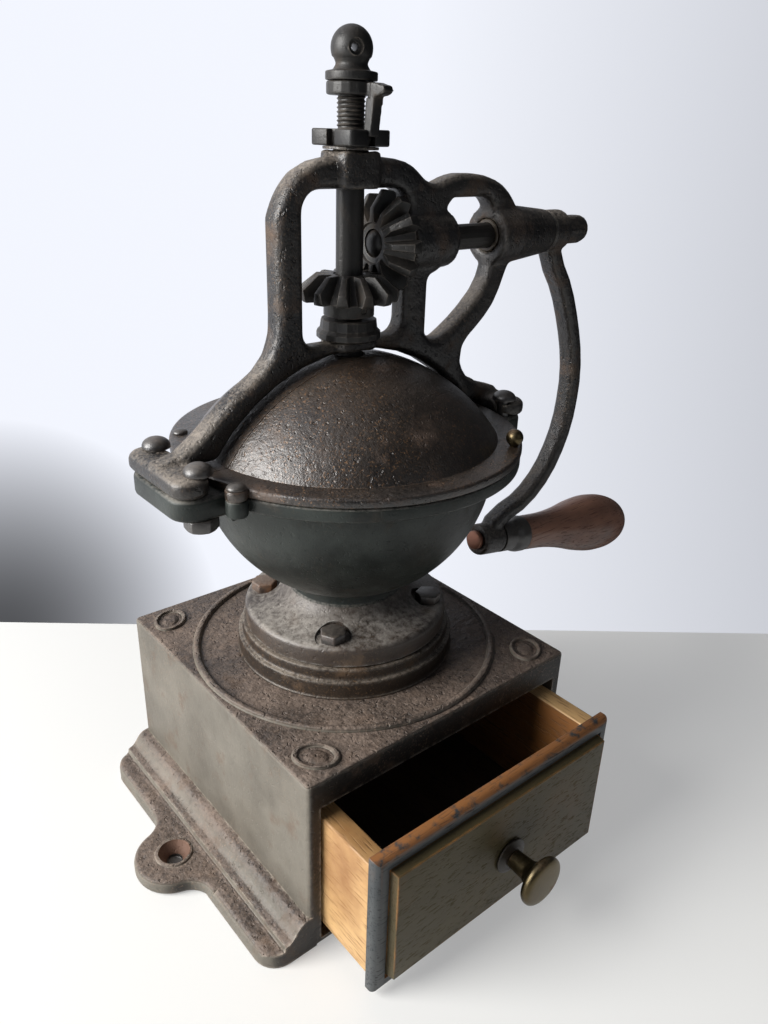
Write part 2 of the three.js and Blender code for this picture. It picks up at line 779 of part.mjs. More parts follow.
// A point of the frame's shares in millimetres
function framePoint([across, level]) {
  const levels = [rimTop, archTop, crankHeight, topBossTop];
  const step = Math.min(Math.floor(level), levels.length - 2);
  return [across * earReach, THREE.MathUtils.lerp(levels[step], levels[step + 1], level - step)];
}

// The frame's outline in X and Z as a plate of its thickness, with both windows cut
function framePlate() {
  const shape = new THREE.Shape();
  const footMiddle = rimTop + footEdge;
  const armAngle = Math.acos((armUnderside - domeCentre) / domeClear);
  const shoulderX = earReach - footShoulderInset;
  const shoulderTop = footTop + footShoulderRise;
  const tipTop = footTop + footTipRise;
  const outline = [[earReach - footEdge, footMiddle], [earReach - footTipInset, tipTop]];
  outline.push([shoulderX, shoulderTop], ...frameRightShares.map(framePoint));
  outline.push(...frameLeftShares.map(framePoint), [-shoulderX, shoulderTop]);
  outline.push([-earReach + footBackInset, tipTop], [-earReach + footEndInset, footTop + footEndRise]);
  outline.push([-earReach + footEdge, footMiddle], [-footInner - smallEdge, footMiddle]);
  outline.push([-footInner - smallEdge, armUnderside]);
  for (let i = 0; i <= archSteps; i += 1) {
    const angle = armAngle * (2 * i / archSteps - 1);
    outline.push([domeClear * Math.sin(angle), domeCentre + domeClear * Math.cos(angle)]);
  }
  outline.push([footInner + smallEdge, armUnderside], [footInner + smallEdge, footMiddle]);
  shape.setFromPoints(outline.map(([x, z]) => new THREE.Vector2(x, z)));
  let body = upright(shape, frameHalf, frameEdge, -frameEdge);
  const main = new THREE.Shape();
  const top = windowTop - windowTopCorner;
  const bottom = windowBottom + windowBottomCorner;
  main.absarc(windowRight - windowTopCorner, top, windowTopCorner, 0, Math.PI / 2);
  main.absarc(-windowLeft + windowTopCorner, top, windowTopCorner, Math.PI / 2, Math.PI);
  main.absarc(-windowLeft + windowBottomCorner, bottom, windowBottomCorner, Math.PI, 1.5 * Math.PI);
  main.absarc(windowRight - windowBottomCorner, bottom, windowBottomCorner, 1.5 * Math.PI, 2 * Math.PI);
  const side = new THREE.Shape();
  side.setFromPoints(sideWindowShares.map((share) => new THREE.Vector2(...framePoint(share))));
  for (const window of [tidied(main, 3), side]) {
    body = body.subtract(upright(window, frameHalf + overrun, 0, 0));
    for (const face of [-frameHalf, frameHalf]) {
      body = body.subtract(upright(window, windowEdge + fit, windowEdge, 0).translate([0, face, 0]));
    }
  }
  return body;
}

// A shape drawn in X and Z, pushed out to both sides of Y = 0
function upright(shape, half, edge, offset) {
  const geometry = new THREE.ExtrudeGeometry(shape, {
    depth: 2 * (half - edge),
    bevelEnabled: edge > 0,
    bevelThickness: edge,
    bevelSize: edge,
    bevelOffset: offset,
    bevelSegments: 1,
  });
  geometry.rotateX(Math.PI / 2);
  geometry.translate(0, half - edge, 0);
  return solidOf(geometry);
}

// Cast frame: plate, feet, crank bosses and square spindle bosses
function makeFrame() {
  let body = framePlate();
  for (const side of [1, -1]) {
    const sole = roundedShape(footInner, earReach, -earHalf, earHalf, earCorner);
    const foot = raised(sole, rimTop + fit, footTop, footEdge, 2, 1);
    if (side < 0) {
      foot.rotateZ(Math.PI);
    }
    body = body.add(solidOf(foot));
  }
  const square = roundedShape(-bossHalf, bossHalf, -bossHalf, bossHalf, bossCorner);
  body = body.add(solidOf(raised(square, windowTop, topBossTop, smallEdge, 1, 1)));
  body = body.add(solidOf(raised(square, archTop, lowerBossTop, smallEdge, 1, 1)));
  const crankAt = [0, 0, crankHeight];
  body = body.add(rod(innerBossRadius, innerBossStart, innerBossEnd, sides, crankAt, along, smallEdge));
  body = body.add(turned([
    [0, outerBossStart], [outerBossRadius - smallEdge, outerBossStart],
    [outerBossRadius, outerBossStart + smallEdge],
    [outerBossRadius, outerBossStart + outerBossRadius],
    [outerBossTip, outerBossEnd - smallEdge], [outerBossTip - smallEdge, outerBossEnd],
    [0, outerBossEnd],
  ], sides, crankAt, along));
  const crankBore = crankShaftRadius + bushWall + 2 * fit;
  const boreStart = innerBossStart - overrun;
  const boreEnd = outerBossEnd + overrun;
  body = body.subtract(rod(crankBore, boreStart, boreEnd, sides, crankAt, along));
  const bushBore = spindleRadius + bushWall + 2 * fit;
  const boreTop = topBossTop + overrun;
  body = body.subtract(rod(bushBore, archTop - overrun, boreTop, sides, [0, 0, 0], up));
  for (const [x, y] of signPairs()) {
    const bolt = [x * earBoltX, y * earBoltY, 0];
    const above = footTop + overrun;
    body = body.subtract(rod(earBoltRadius + fit, rimTop - overrun, above, tinySides, bolt, up));
  }
  return body;
}

// The half domes: one shell of a sphere with a flat flange
function domeShell() {
  const flangeBottom = rimTop + fit;
  const inner = domeRadius - domeWall;
  const outerEnd = Math.acos((domeFlangeTop - domeCentre) / domeRadius);
  const innerEnd = Math.acos((flangeBottom - domeCentre) / inner);
  const steps = domeSteps;
  const profile = [];
  for (let i = 0; i <= steps; i += 1) {
    const angle = innerEnd * i / steps;
    profile.push([inner * Math.sin(angle), domeCentre + inner * Math.cos(angle)]);
  }
  profile.push([domeFlangeRadius - smallEdge, flangeBottom]);
  profile.push([domeFlangeRadius, flangeBottom + smallEdge]);
  profile.push([domeFlangeRadius, domeFlangeTop - 2 * smallEdge]);
  profile.push([domeFlangeRadius - 2 * smallEdge, domeFlangeTop]);
  for (let i = steps; i >= 0; i -= 1) {
    const angle = outerEnd * i / steps;
    profile.push([domeRadius * Math.sin(angle), domeCentre + domeRadius * Math.cos(angle)]);
  }
  return turned(profile, fineSides);
}

function halfSpace(low, high) {
  const reach = 2 * domeFlangeRadius;
  return block([-reach, low, 0], [reach, high, 2 * domeCentre]);
}

function makeLid() {
  const reach = 2 * domeFlangeRadius;
  let body = domeShell().intersect(halfSpace(-reach, -lidSeam));
  const at = [-pivotX, -pivotY, 0];
  const low = rimTop + fit;
  const above = domeFlangeTop + overrun;
  body = body.add(rod(pivotLug, low, domeFlangeTop, sides, at, up, smallEdge));
  body = body.subtract(rod(pivotRadius + fit, low - overrun, above, smallSides, at, up));
  return body.subtract(rod(lidKnobStem + fit, low - overrun, above, tinySides, lidKnobAt(), up));
}

function makeRearDome() {
  const reach = 2 * domeFlangeRadius;
  let body = domeShell().intersect(halfSpace(-lidSeam + looseFit, reach));
  body = body.subtract(rod(spindleHoleRadius, rimTop, 2 * domeCentre, sides, [0, 0, 0], up));
  for (const at of domeScrewPlaces()) {
    const above = domeFlangeTop + domeRise;
    body = body.subtract(rod(domeScrewRadius + fit, rimTop - overrun, above, tinySides, at, up));
  }
  return body;
}

function lidKnobAt() {
  const angle = THREE.MathUtils.degToRad(lidKnobDegrees);
  return [lidKnobPlace * Math.cos(angle), lidKnobPlace * Math.sin(angle), 0];
}

// A ball with a short neck and a stem
function makeLidKnob() {
  const low = rimTop + fit;
  const seat = domeFlangeTop + fit;
  const middle = seat + lidKnobRadius;
  const profile = [[0, low], [lidKnobStem, low], [lidKnobStem, seat], [lidKnobRadius / 2, seat]];
  const start = Math.PI / 5;
  for (let i = 0; i <= knobSteps; i += 1) {
    const angle = start + (Math.PI - start) * i / knobSteps;
    profile.push([lidKnobRadius * Math.sin(angle), middle - lidKnobRadius * Math.cos(angle)]);
  }
  return turned(profile.slice(0, -1).concat([[0, middle + lidKnobRadius]]), smallSides, lidKnobAt());
}

// Bolt with a low domed head, its shank down to the given depth
function domedBolt(radius, headRadius, headHeight, shankBottom, seat, at) {
  const profile = [[0, shankBottom], [radius - smallEdge, shankBottom], [radius, shankBottom + smallEdge]];
  profile.push([radius, seat], [headRadius, seat]);
  for (const share of headTurnShares) {
    const angle = share * Math.PI / 2;
    const rise = headBandShare + (1 - headBandShare) * Math.sin(angle);
    profile.push([headRadius * Math.cos(angle), seat + headHeight * rise]);
  }
  profile.push([0, seat + headHeight]);
  return turned(profile, smallSides, at);
}

function addFasteners() {
  const neckSeat = flangeTop + fit;
  const shankEnd = padTop - neckBoltDepth;
  const earNutTop = earBottom - fit;
  const earNutBottom = earNutTop - earNutHeight;
  const boltEnd = earNutBottom - fit - smallEdge;
  for (const [i, [x, y]] of signPairs().entries()) {
    const neckAt = [x * neckBoltPlace, y * neckBoltPlace, 0];
    const shank = rod(neckBoltRadius, shankEnd, neckSeat + fit, tinySides, neckAt, up, smallEdge / 2);
    const head = hexBar(neckBoltFlats, neckSeat, neckSeat + neckBoltHead, neckAt, up);
    addPiece(`neck_bolt_${i + 1}`, shank.add(head), paints.iron);
    const earAt = [x * earBoltX, y * earBoltY, 0];
    addPiece(`ear_bolt_${i + 1}`, domedBolt(
      earBoltRadius, earBoltHead, earBoltHeadHeight, boltEnd, footTop + fit, earAt), paints.steel);
    const bore = rod(
      earBoltRadius + fit, earNutBottom - overrun, earNutTop + overrun, tinySides, earAt, up);
    const nut = hexBar(earNutFlats, earNutBottom, earNutTop, earAt, up);
    addPiece(`ear_nut_${i + 1}`, nut.subtract(bore), paints.steel);
  }
  const seat = domeFlangeTop + fit;
  for (const [i, at] of domeScrewPlaces().entries()) {
    addPiece(`rear_dome_screw_${i + 1}`, domedBolt(
      domeScrewRadius, domeScrewHead, domeScrewHeadHeight, rimBottom + fit, seat, at), paints.steel);
  }
  const pivotAt = [-pivotX, -pivotY, 0];
  addPiece('lid_pivot_pin', domedBolt(
    pivotRadius, pivotHeadRadius, pivotHeadHeight, rimBottom - rimRound, seat, pivotAt), paints.steel);
}

// Bearing bushes and the flanged collar under the spindle gear
function addBushes() {
  const crankAt = [0, 0, crankHeight];
  const outer = crankShaftRadius + bushWall + fit;
  const inner = crankShaftRadius + fit;
  for (const [name, start, end] of [
    ['crank_bush_inner', innerBossStart, innerBossEnd],
    ['crank_bush_outer', outerBossStart, outerBossEnd],
  ]) {
    addPiece(name, tube(outer, inner, start, end, sides, crankAt, along), paints.copper);
  }
  const bore = spindleRadius + fit;
  const sleeve = spindleRadius + bushWall + fit;
  addPiece('spindle_bush_upper', tube(sleeve, bore, windowTop, topBossTop, sides), paints.copper);
  const low = archTop + fit;
  const seat = lowerBossTop + fit;
  const top = collarTop;
  addPiece('spindle_collar', turned([
    [bore, low], [sleeve, low], [sleeve, seat], [collarFlangeRadius - smallEdge, seat],
    [collarFlangeRadius, seat + smallEdge], [collarFlangeRadius, seat + collarFlangeHeight / 3],
    [collarFlangeRadius - 3 * smallEdge, seat + collarFlangeHeight / 2],
    [collarFlangeRadius - 4 * smallEdge, top - smallEdge], [collarFlangeRadius - 5 * smallEdge, top],
    [bore, top],
  ], sides), paints.steel);
}

// A mitre gear with its axis on +Z and its cone's point at the origin
function mitreGear(gapAtStart, hubBottom, bore, dish) {
  const radius = gearRadius;
  const rise = gearRise;
  const drop = gearDrop;
  const tip = [radius + rise, radius - rise];
  const root = [radius - drop, radius + drop];
  const small = 1 - gearFaceShare;
  const dishRadius = crankShaftRadius + 2 * dish;
  let body = turned([
    [bore, small * tip[1] + dish], [dishRadius, small * tip[1] + dish],
    [dishRadius + dish / 2, small * tip[1]], [small * tip[0], small * tip[1]],
    tip, [tip[0] - smallEdge, gearBack - rise / 2], [tip[0] - rise / 2, gearBack],
    [gearHubRadius, gearBack], [gearHubRadius, hubBottom], [bore, hubBottom],
  ], 2 * gearTeeth);
  const lift = rise + overrun / 2;
  const top = [radius + lift, radius - lift];
  const slope = Math.tan(THREE.MathUtils.degToRad(pressureAngle)) * Math.SQRT2;
  const halfGap = (1 - toothShare) * Math.PI / gearTeeth * radius;
  const rootHalf = (halfGap - drop * slope) / root[0];
  const topHalf = (halfGap + lift * slope) / top[0];
  for (let i = 0; i < gearTeeth; i += 1) {
    const middle = (2 * i + (gapAtStart ? 0 : 1)) * Math.PI / gearTeeth;
    const corners = [];
    const rays = [[root, -rootHalf], [root, rootHalf], [top, topHalf], [top, -topHalf]];
    for (const reach of [small * gapStartShare, gapEndShare]) {
      for (const [ray, turn] of rays) {
        const level = reach * radius;
        const far = level * ray[0] / ray[1];
        corners.push(far * Math.cos(middle + turn), far * Math.sin(middle + turn), level);
      }
    }
    body = body.subtract(hexahedron(corners));
  }
  return body;
}

// A solid with six faces from its eight corners
function hexahedron(corners) {
  const geometry = new THREE.BufferGeometry();
  geometry.setAttribute('position', new THREE.BufferAttribute(new Float32Array(corners), 3));
  const faces = [[0, 1, 2, 3], [4, 7, 6, 5], [0, 4, 5, 1], [1, 5, 6, 2], [2, 6, 7, 3], [3, 7, 4, 0]];
  geometry.setIndex(faces.flatMap(([a, b, c, d]) => [a, b, c, a, c, d]));
  return solidOf(geometry);
}

function addGears() {
  const hub = gearHubRadius;
  const length = hub - smallEdge;
  const spindleHubEnd = gearBack + spindleGearHub;
  let spindleGear = mitreGear(true, spindleHubEnd, spindleRadius + fit, smallEdge);
  spindleGear = spindleGear.rotate([180, 0, 0]).translate([0, 0, crankHeight]);
  const pinAt = [0, 0, crankHeight - spindleHubEnd + spindleGearHub / 2];
  const pinHole = rod(gearPinRadius + fit, -2 * hub, 2 * hub, tinySides, pinAt, front);
  addPiece('spindle_gear', spindleGear.subtract(pinHole), paints.steel);
  const spindlePin = rod(gearPinRadius, -length, length, tinySides, pinAt, front);
  addPiece('spindle_gear_pin', spindlePin, paints.steel);
  addPiece('spindle', makeSpindle().subtract(pinHole), paints.steel);

  const crankHubEnd = innerBossStart - runningFit;
  let crankGear = mitreGear(false, crankHubEnd, crankShaftRadius + fit, overrun / 2);
  crankGear = crankGear.rotate([0, 90, 0]).translate([0, 0, crankHeight]);
  const crankPinAt = [(gearBack + crankHubEnd) / 2, 0, crankHeight];
  const crankHole = rod(gearPinRadius + fit, -2 * hub, 2 * hub, tinySides, crankPinAt, front);
  addPiece('crank_gear', crankGear.subtract(crankHole), paints.steel);
  const crankPin = rod(gearPinRadius, -length, length, tinySides, crankPinAt, front);
  addPiece('crank_gear_pin', crankPin, paints.steel);
  addPiece('crank_shaft', makeShaft().subtract(crankHole), paints.steel);
}

function makeSpindle() {
  const edge = 2 * smallEdge;
  return turned([
    [0, spindleBottom], [spindleRadius - edge, spindleBottom], [spindleRadius, spindleBottom + edge],
    [spindleRadius, spindleStep - edge], [spindleTipRadius, spindleStep],
    [spindleTipRadius, spindleTop - smallEdge], [spindleTipRadius - smallEdge, spindleTop],
    [0, spindleTop],
  ], sides);
}

function makeShaft() {
  const dome = 2 * smallEdge;
  return turned([
    [0, shaftEnd], [crankShaftRadius / 2, shaftEnd + dome / 4],
    [crankShaftRadius - smallEdge, shaftEnd + dome],
    [crankShaftRadius, shaftEnd + dome + smallEdge], [crankShaftRadius, hubEnd - smallEdge],
    [shaftTipRadius, hubEnd], [shaftTipRadius, shaftTip - smallEdge],
    [shaftTipRadius - smallEdge, shaftTip], [0, shaftTip],
  ], sides, [0, 0, crankHeight], along);
}

// The auger, inner burr and burr nut, hidden in the neck and base
function addGrindingSet() {
  const bore = spindleRadius + fit;
  const burrTop = burrBottom + innerBurrHeight;
  const mouthShare = innerBurrHeight / (padTop - burrBottom);
  const mouth = burrMouthBottom + (burrMouthTop - burrMouthBottom) * mouthShare;
  const rim = burrMouthBottom - burrGap;
  const crown = mouth - 4 * burrGap;
  const inner = turned([
    [bore, burrBottom - smallEdge], [rim - burrGap, burrBottom - smallEdge],
    [rim, burrBottom], [rim - smallEdge, burrBottom + overrun],
    [crown, burrTop - overrun], [innerBurrHub, burrTop], [bore, burrTop],
  ], sides);
  const innerFlutes = fluteSet(innerBurrFlutes, {
    lowRadius: burrMouthBottom, highRadius: crown, low: burrBottom, high: burrTop,
    inward: 2 * burrGap, outward: 2 * overrun,
  });
  addPiece('inner_burr', inner.subtract(innerFlutes), paints.steel);

  const shoulder = padTop - burrFlangeHeight + fit;
  const outer = turned([
    [burrMouthBottom, burrBottom], [burrBodyRadius - smallEdge, burrBottom],
    [burrBodyRadius, burrBottom + smallEdge], [burrBodyRadius, shoulder], [burrFlangeRadius, shoulder],
    [burrFlangeRadius, padTop - smallEdge], [burrFlangeRadius - smallEdge, padTop], [burrMouthTop, padTop],
  ], sides);
  const outerFlutes = fluteSet(outerBurrFlutes, {
    lowRadius: burrMouthBottom, highRadius: burrMouthTop, low: burrBottom, high: padTop,
    inward: 2 * overrun, outward: 2 * burrGap,
  });
  addPiece('outer_burr', outer.subtract(outerFlutes), paints.steel);

  const middle = [0, 0, 0];
  const burrNutBottom = burrNutTop - burrNutHeight;
  const nutBore = rod(bore, burrNutBottom - overrun, burrNutTop + overrun, sides, middle, up);
  const nut = hexBar(burrNutFlats, burrNutBottom, burrNutTop, middle, up);
  addPiece('burr_nut', nut.subtract(nutBore), paints.steel);

  addPiece('auger', makeAuger(burrTop + fit, bore), paints.iron);
}

// Straight cutting flutes on a burr's cone, from inward of its surface to outward of it
function fluteSet(count, { lowRadius, highRadius, low, high, inward, outward }) {
  let cuts = null;
  for (let i = 0; i < count; i += 1) {
    const turn = 2 * Math.PI * i / count;
    const corners = [];
    for (const [radius, level] of [[lowRadius, low - overrun], [highRadius, high + overrun]]) {
      for (const [reach, side] of [[-inward, -1], [-inward, 1], [outward, 1], [outward, -1]]) {
        corners.push(...turnedPoint(radius + reach, side * burrGap, turn), level);
      }
    }
    const cut = hexahedron(corners);
    cuts = cuts === null ? cut : cuts.add(cut);
  }
  return cuts;
}

// A point turned about the origin
function turnedPoint(x, y, angle) {
  return [x * Math.cos(angle) - y * Math.sin(angle), x * Math.sin(angle) + y * Math.cos(angle)];
}

// A sleeve with two twisted vanes that feed beans down
function makeAuger(low, bore) {
  const half = augerVane / 2;
  const ends = signPairs().map(([x, y]) => new THREE.Vector2(x * augerRadius, y * half));
  const geometry = new THREE.ExtrudeGeometry(new THREE.Shape(ends), {
    depth: augerHeight, steps: augerSteps, bevelEnabled: false,
  });
  const position = geometry.attributes.position;
  const turn = THREE.MathUtils.degToRad(augerTwist);
  for (let i = 0; i < position.count; i += 1) {
    const angle = turn * position.getZ(i) / augerHeight;
    position.setXY(i, ...turnedPoint(position.getX(i), position.getY(i), angle));
  }
  geometry.translate(0, 0, low);
  const sleeve = rod(augerSleeve, low, low + augerHeight, sides, [0, 0, 0], up);
  const start = low + augerVane;
  const taper = turned([
    [0, low], [innerBurrHub + overrun, low], [augerRadius - overrun, start], [augerRadius, start + overrun],
    [augerRadius, low + augerHeight], [0, low + augerHeight],
  ], sides);
  const hole = rod(bore, low - overrun, low + augerHeight + overrun, sides, [0, 0, 0], up);
  return solidOf(geometry).intersect(taper).add(sleeve).subtract(hole);
}

// Washer, adjusting nut, lock ring and ball nut on the spindle's top
function addSpindleTop() {
  const bore = spindleRadius + fit;
  const middle = [0, 0, 0];
  const washer = tube(washerRadius, bore, topBossTop + fit, thrustTop, sides, middle, up, smallEdge / 2);
  addPiece('thrust_washer', washer, paints.steel);
  const half = nutSide / 2;
  const square = roundedShape(-half, half, -half, half, nutCorner);
  let nut = solidOf(raised(square, nutBottom, nutTop, smallEdge, 3, 1));
  const under = nutBottom - overrun;
  const above = nutTop + overrun;
  nut = nut.subtract(rod(bore, under, above, sides, middle, up));
  const notch = nutNotchWidth / 2;
  for (let i = 0; i < nutNotches; i += 1) {
    const cut = block([half - nutNotchDepth, -notch, under], [half + overrun, notch, above]);
    nut = nut.subtract(cut.rotate([0, 0, 360 * i / nutNotches]));
  }
  addPiece('adjusting_nut', nut.rotate([0, 0, nutTurnAngle]), paints.iron);

  let ring = tube(ringRadius, bore, ringBottom, ringTop, sides);
  const wide = tailWidth / 2;
  const arm = new THREE.Shape();
  arm.moveTo(ringRadius - 3 * smallEdge, ringBottom + smallEdge);
  arm.lineTo(tailInner, ringBottom + smallEdge);
  arm.lineTo(tailInner - 3 * smallEdge, tailBottom + smallEdge);
  arm.lineTo(tailInner - 2 * smallEdge, tailBottom);
  arm.lineTo(tailOuter - 4 * smallEdge, tailBottom);
  arm.lineTo(tailOuter, ringBottom - smallEdge);
  arm.quadraticCurveTo(tailLug - smallEdge, ringBottom, tailLug, ringBottom + ringHeight / 3);
  arm.lineTo(tailLug - smallEdge, ringTop - ringHeight / 3);
  arm.lineTo(tailOuter, ringTop - smallEdge);
  arm.lineTo(ringRadius - 3 * smallEdge, ringTop - smallEdge);
  const armGeometry = new THREE.ExtrudeGeometry(arm, {
    depth: tailWidth, bevelEnabled: false, curveSegments: 4,
  });
  armGeometry.rotateX(Math.PI / 2);
  armGeometry.translate(0, wide, 0);
  ring = ring.add(solidOf(armGeometry));
  addPiece('lock_ring', ring.rotate([0, 0, nutTurnAngle - 90]), paints.iron);

  addPiece('ball_nut', makeBallNut(bore), paints.steel);
}

function makeBallNut(bore) {
  const low = ballBottom;
  const shoulder = low + ballCollarHeight;
  const neckAngle = Math.asin(ballNeckRadius / ballRadius);
  const tipBore = spindleTipRadius + fit;
  const profile = [[ballCollarRadius - smallEdge, low], [ballCollarRadius, low + smallEdge]];
  profile.push([ballCollarRadius, shoulder - smallEdge], [ballCollarRadius - smallEdge, shoulder]);
  profile.push([ballNeckRadius, shoulder + smallEdge]);
  for (let i = 0; i <= ballSteps; i += 1) {
    const angle = neckAngle + (Math.PI - neckAngle) * i / ballSteps;
    profile.push([ballRadius * Math.sin(angle), ballCentre - ballRadius * Math.cos(angle)]);
  }
  profile[profile.length - 1] = [0, ballCentre + ballRadius];
  const boreTop = spindleTop + fit;
  profile.push([0, boreTop], [tipBore, boreTop], [tipBore, spindleStep + fit], [bore, low]);
  const hole = THREE.MathUtils.degToRad(tommyAzimuth);
  const axis = new THREE.Vector3(Math.cos(hole), Math.sin(hole), 0);
  const tommy = rod(tommyRadius, -2 * ballRadius, 2 * ballRadius, smallSides, [0, 0, ballCentre], axis);
  return turned(profile, sides).subtract(tommy);
}

// Crank arm with its hub and eye, end nut and the handle's pin
function addCrank() {
  const crankAt = [0, 0, crankHeight];
  const hubStart = outerBossEnd + crankHubFit;
  const eyeStart = pinHeadThick + fit;
  const eyeEnd = eyeStart + eyeLength;
  const hubMiddle = new THREE.Vector3((hubStart + hubEnd) / 2, 0, crankHeight);
  const eyeMiddle = new THREE.Vector3(...pinHead);
  eyeMiddle.addScaledVector(gripAxis, (eyeStart + eyeEnd) / 2);
  const curve = new THREE.CatmullRomCurve3(armShares.map(
    ([down, bow]) => hubMiddle.clone().lerp(eyeMiddle, down).addScaledVector(along, bow * armBow)));
  const section = roundedShape(-armWide / 2, armWide / 2, -armThick / 2, armThick / 2, armRound);
  const armGeometry = new THREE.ExtrudeGeometry(section, {
    steps: armSteps, extrudePath: curve, curveSegments: 1,
  });
  let arm = solidOf(armGeometry);
  arm = arm.add(rod(hubRadius, hubStart, hubEnd, sides, crankAt, along, 2 * smallEdge));
  arm = arm.add(rod(eyeRadius, eyeStart, eyeEnd, sides, pinHead, gripAxis, 2 * smallEdge));
  const hubBore = rod(
    crankShaftRadius + fit, hubStart - overrun, hubEnd + overrun, sides, crankAt, along);
  arm = arm.subtract(hubBore);
  arm = arm.subtract(rod(pinRadius + fit, eyeStart - overrun, eyeEnd + overrun, sides, pinHead, gripAxis));
  addPiece('crank_arm', arm, paints.iron);

  const nutStart = hubEnd + fit;
  const nutEnd = nutStart + endNutLength;
  const dome = turned([
    [0, nutStart], [endNutRadius - smallEdge, nutStart], [endNutRadius, nutStart + smallEdge],
    [endNutRadius, nutEnd - endNutRadius],
    [endNutRadius * endNutShoulderShare, nutEnd - endNutRadius / 2],
    [endNutRadius / 2, nutEnd - smallEdge], [0, nutEnd],
  ], sides, crankAt, along);
  const hexRadius = endNutRadius * endNutHexShare;
  const nut = dome.intersect(rod(hexRadius, nutStart, nutEnd, hexSides, crankAt, along));
  const nutBore = rod(
    shaftTipRadius + fit, nutStart - overrun, shaftTip + smallEdge, sides, crankAt, along);
  addPiece('crank_end_nut', nut.subtract(nutBore), paints.steel);

  addPiece('handle_pin', turned([
    [0, 0], [pinHeadRadius - 2 * smallEdge, 0], [pinHeadRadius, 2 * smallEdge],
    [pinHeadRadius, pinHeadThick], [pinRadius, pinHeadThick],
    [pinRadius, pinLength - smallEdge], [pinRadius - smallEdge, pinLength],
    [0, pinLength],
  ], sides, pinHead, gripAxis), paints.copper);
  addHandle(eyeEnd + fit);
}

function addHandle(start) {
  const bore = pinRadius + fit;
  const ferruleEnd = start + ferruleLength;
  const step = ferruleLength / ferruleParts;
  addPiece('handle_ferrule', turned([
    [bore, start], [ferruleTip - smallEdge, start], [ferruleTip, start + smallEdge],
    [ferruleTip, start + 3 * step], [ferruleTip - smallEdge, start + 4 * step],
    [ferruleRadius - smallEdge, start + 5 * step], [ferruleRadius, start + 6 * step],
    [ferruleRadius, ferruleEnd - smallEdge], [ferruleRadius - smallEdge, ferruleEnd], [bore, ferruleEnd],
  ], sides, pinHead, gripAxis), paints.rusty);
  const low = ferruleEnd + fit;
  const profile = [[bore, low], [gripNeck - smallEdge, low]];
  for (const [far, wide] of gripShares) {
    profile.push([wide * gripBulb, low + far * gripLength]);
  }
  profile.push([0, low + gripLength], [0, pinLength + fit], [bore, pinLength + fit]);
  addPiece('handle_grip', turned(profile, sides, pinHead, gripAxis), paints.redWood);
}

// The wooden drawer, its boards apart by the shared fit
function addDrawer() {
  const face = -baseHalfDepth - drawerPull;
  const back = face + panelThick;
  const half = (panelThick - fit) / 2;
  const plain = block([-panelHalf, face + half, panelBottom], [panelHalf, back, panelTop]);
  const rectangle = [[-1, panelBottom], [1, panelBottom], [1, panelTop], [-1, panelTop]];
  const outline = new THREE.Shape(rectangle.map(([side, z]) => new THREE.Vector2(side * panelHalf, z)));
  const bevel = new THREE.ExtrudeGeometry(outline, {
    depth: fit,
    bevelThickness: half,
    bevelSize: panelBevel,
    bevelOffset: -panelBevel,
    bevelSegments: 1,
  });
  bevel.rotateX(Math.PI / 2);
  bevel.translate(0, face + half + fit, 0);
  const panel = plain.add(solidOf(bevel));
  const knobAt = [knobX, 0, knobZ];
  const hole = rod(knobScrewRadius + fit, -back - overrun, -face + overrun, tinySides, knobAt, front);
  addPiece('drawer_front', panel.subtract(hole), paints.darkWood);

  const boardFront = back + fit;
  const boardBack = boardFront + drawerLength;
  const inner = sideHalf - sideThick;
  for (const [name, side] of [['drawer_side_right', 1], ['drawer_side_left', -1]]) {
    const near = Math.min(side * inner, side * sideHalf);
    const end = roundedShape(near, near + sideThick, sideBottom, sideTop, 2 * smallEdge);
    const board = raised(end, -boardBack, -boardFront, 0, 2);
    board.rotateX(Math.PI / 2);
    addPiece(name, solidOf(board), paints.paleWood);
  }
  const boardInner = inner - fit;
  const backFront = boardBack - sideThick;
  addPiece('drawer_back', block(
    [-boardInner, backFront, sideBottom], [boardInner, boardBack, sideTop - sideThick / 2],
  ), paints.paleWood);
  addPiece('drawer_bottom', block(
    [-boardInner, boardFront, sideBottom], [boardInner, backFront - fit, sideBottom + bottomThick],
  ), paints.paleWood);

  const rosetteStart = -face + fit;
  const rosetteEnd = rosetteStart + rosetteThick;
  const screwBore = knobScrewRadius + fit;
  addPiece('drawer_rosette', turned([
    [screwBore, rosetteStart], [rosetteRadius, rosetteStart],
    [rosetteRadius, rosetteStart + rosetteThick / 3],
    [rosetteRadius * rosetteStepShare, rosetteStart + rosetteThick * rosetteRiseShare],
    [rosetteRadius * rosetteFaceShare, rosetteEnd], [screwBore, rosetteEnd],
  ], sides, knobAt, front), paints.brass);
  const knobStart = rosetteEnd + fit;
  const knobEnd = knobStart + knobLength;
  const screwEnd = knobStart + knobScrewReach;
  const profile = [[screwBore, knobStart], [knobStem, knobStart]];
  for (const [far, wide] of knobShares) {
    profile.push([wide * knobRadius, knobStart + far * knobLength]);
  }
  profile.push([0, knobEnd], [0, screwEnd + fit], [screwBore, screwEnd + fit]);
  addPiece('drawer_knob', turned(profile, knobSides, knobAt, front), paints.brass);
  const headSeat = -back - fit;
  addPiece('drawer_knob_screw', turned([
    [0, headSeat - knobScrewHeadThick], [knobScrewHead / 2, headSeat - knobScrewHeadThick],
    [knobScrewHead, headSeat - smallEdge], [knobScrewHead, headSeat], [knobScrewRadius, headSeat],
    [knobScrewRadius, screwEnd], [0, screwEnd],
  ], smallSides, knobAt, front), paints.steel);
}

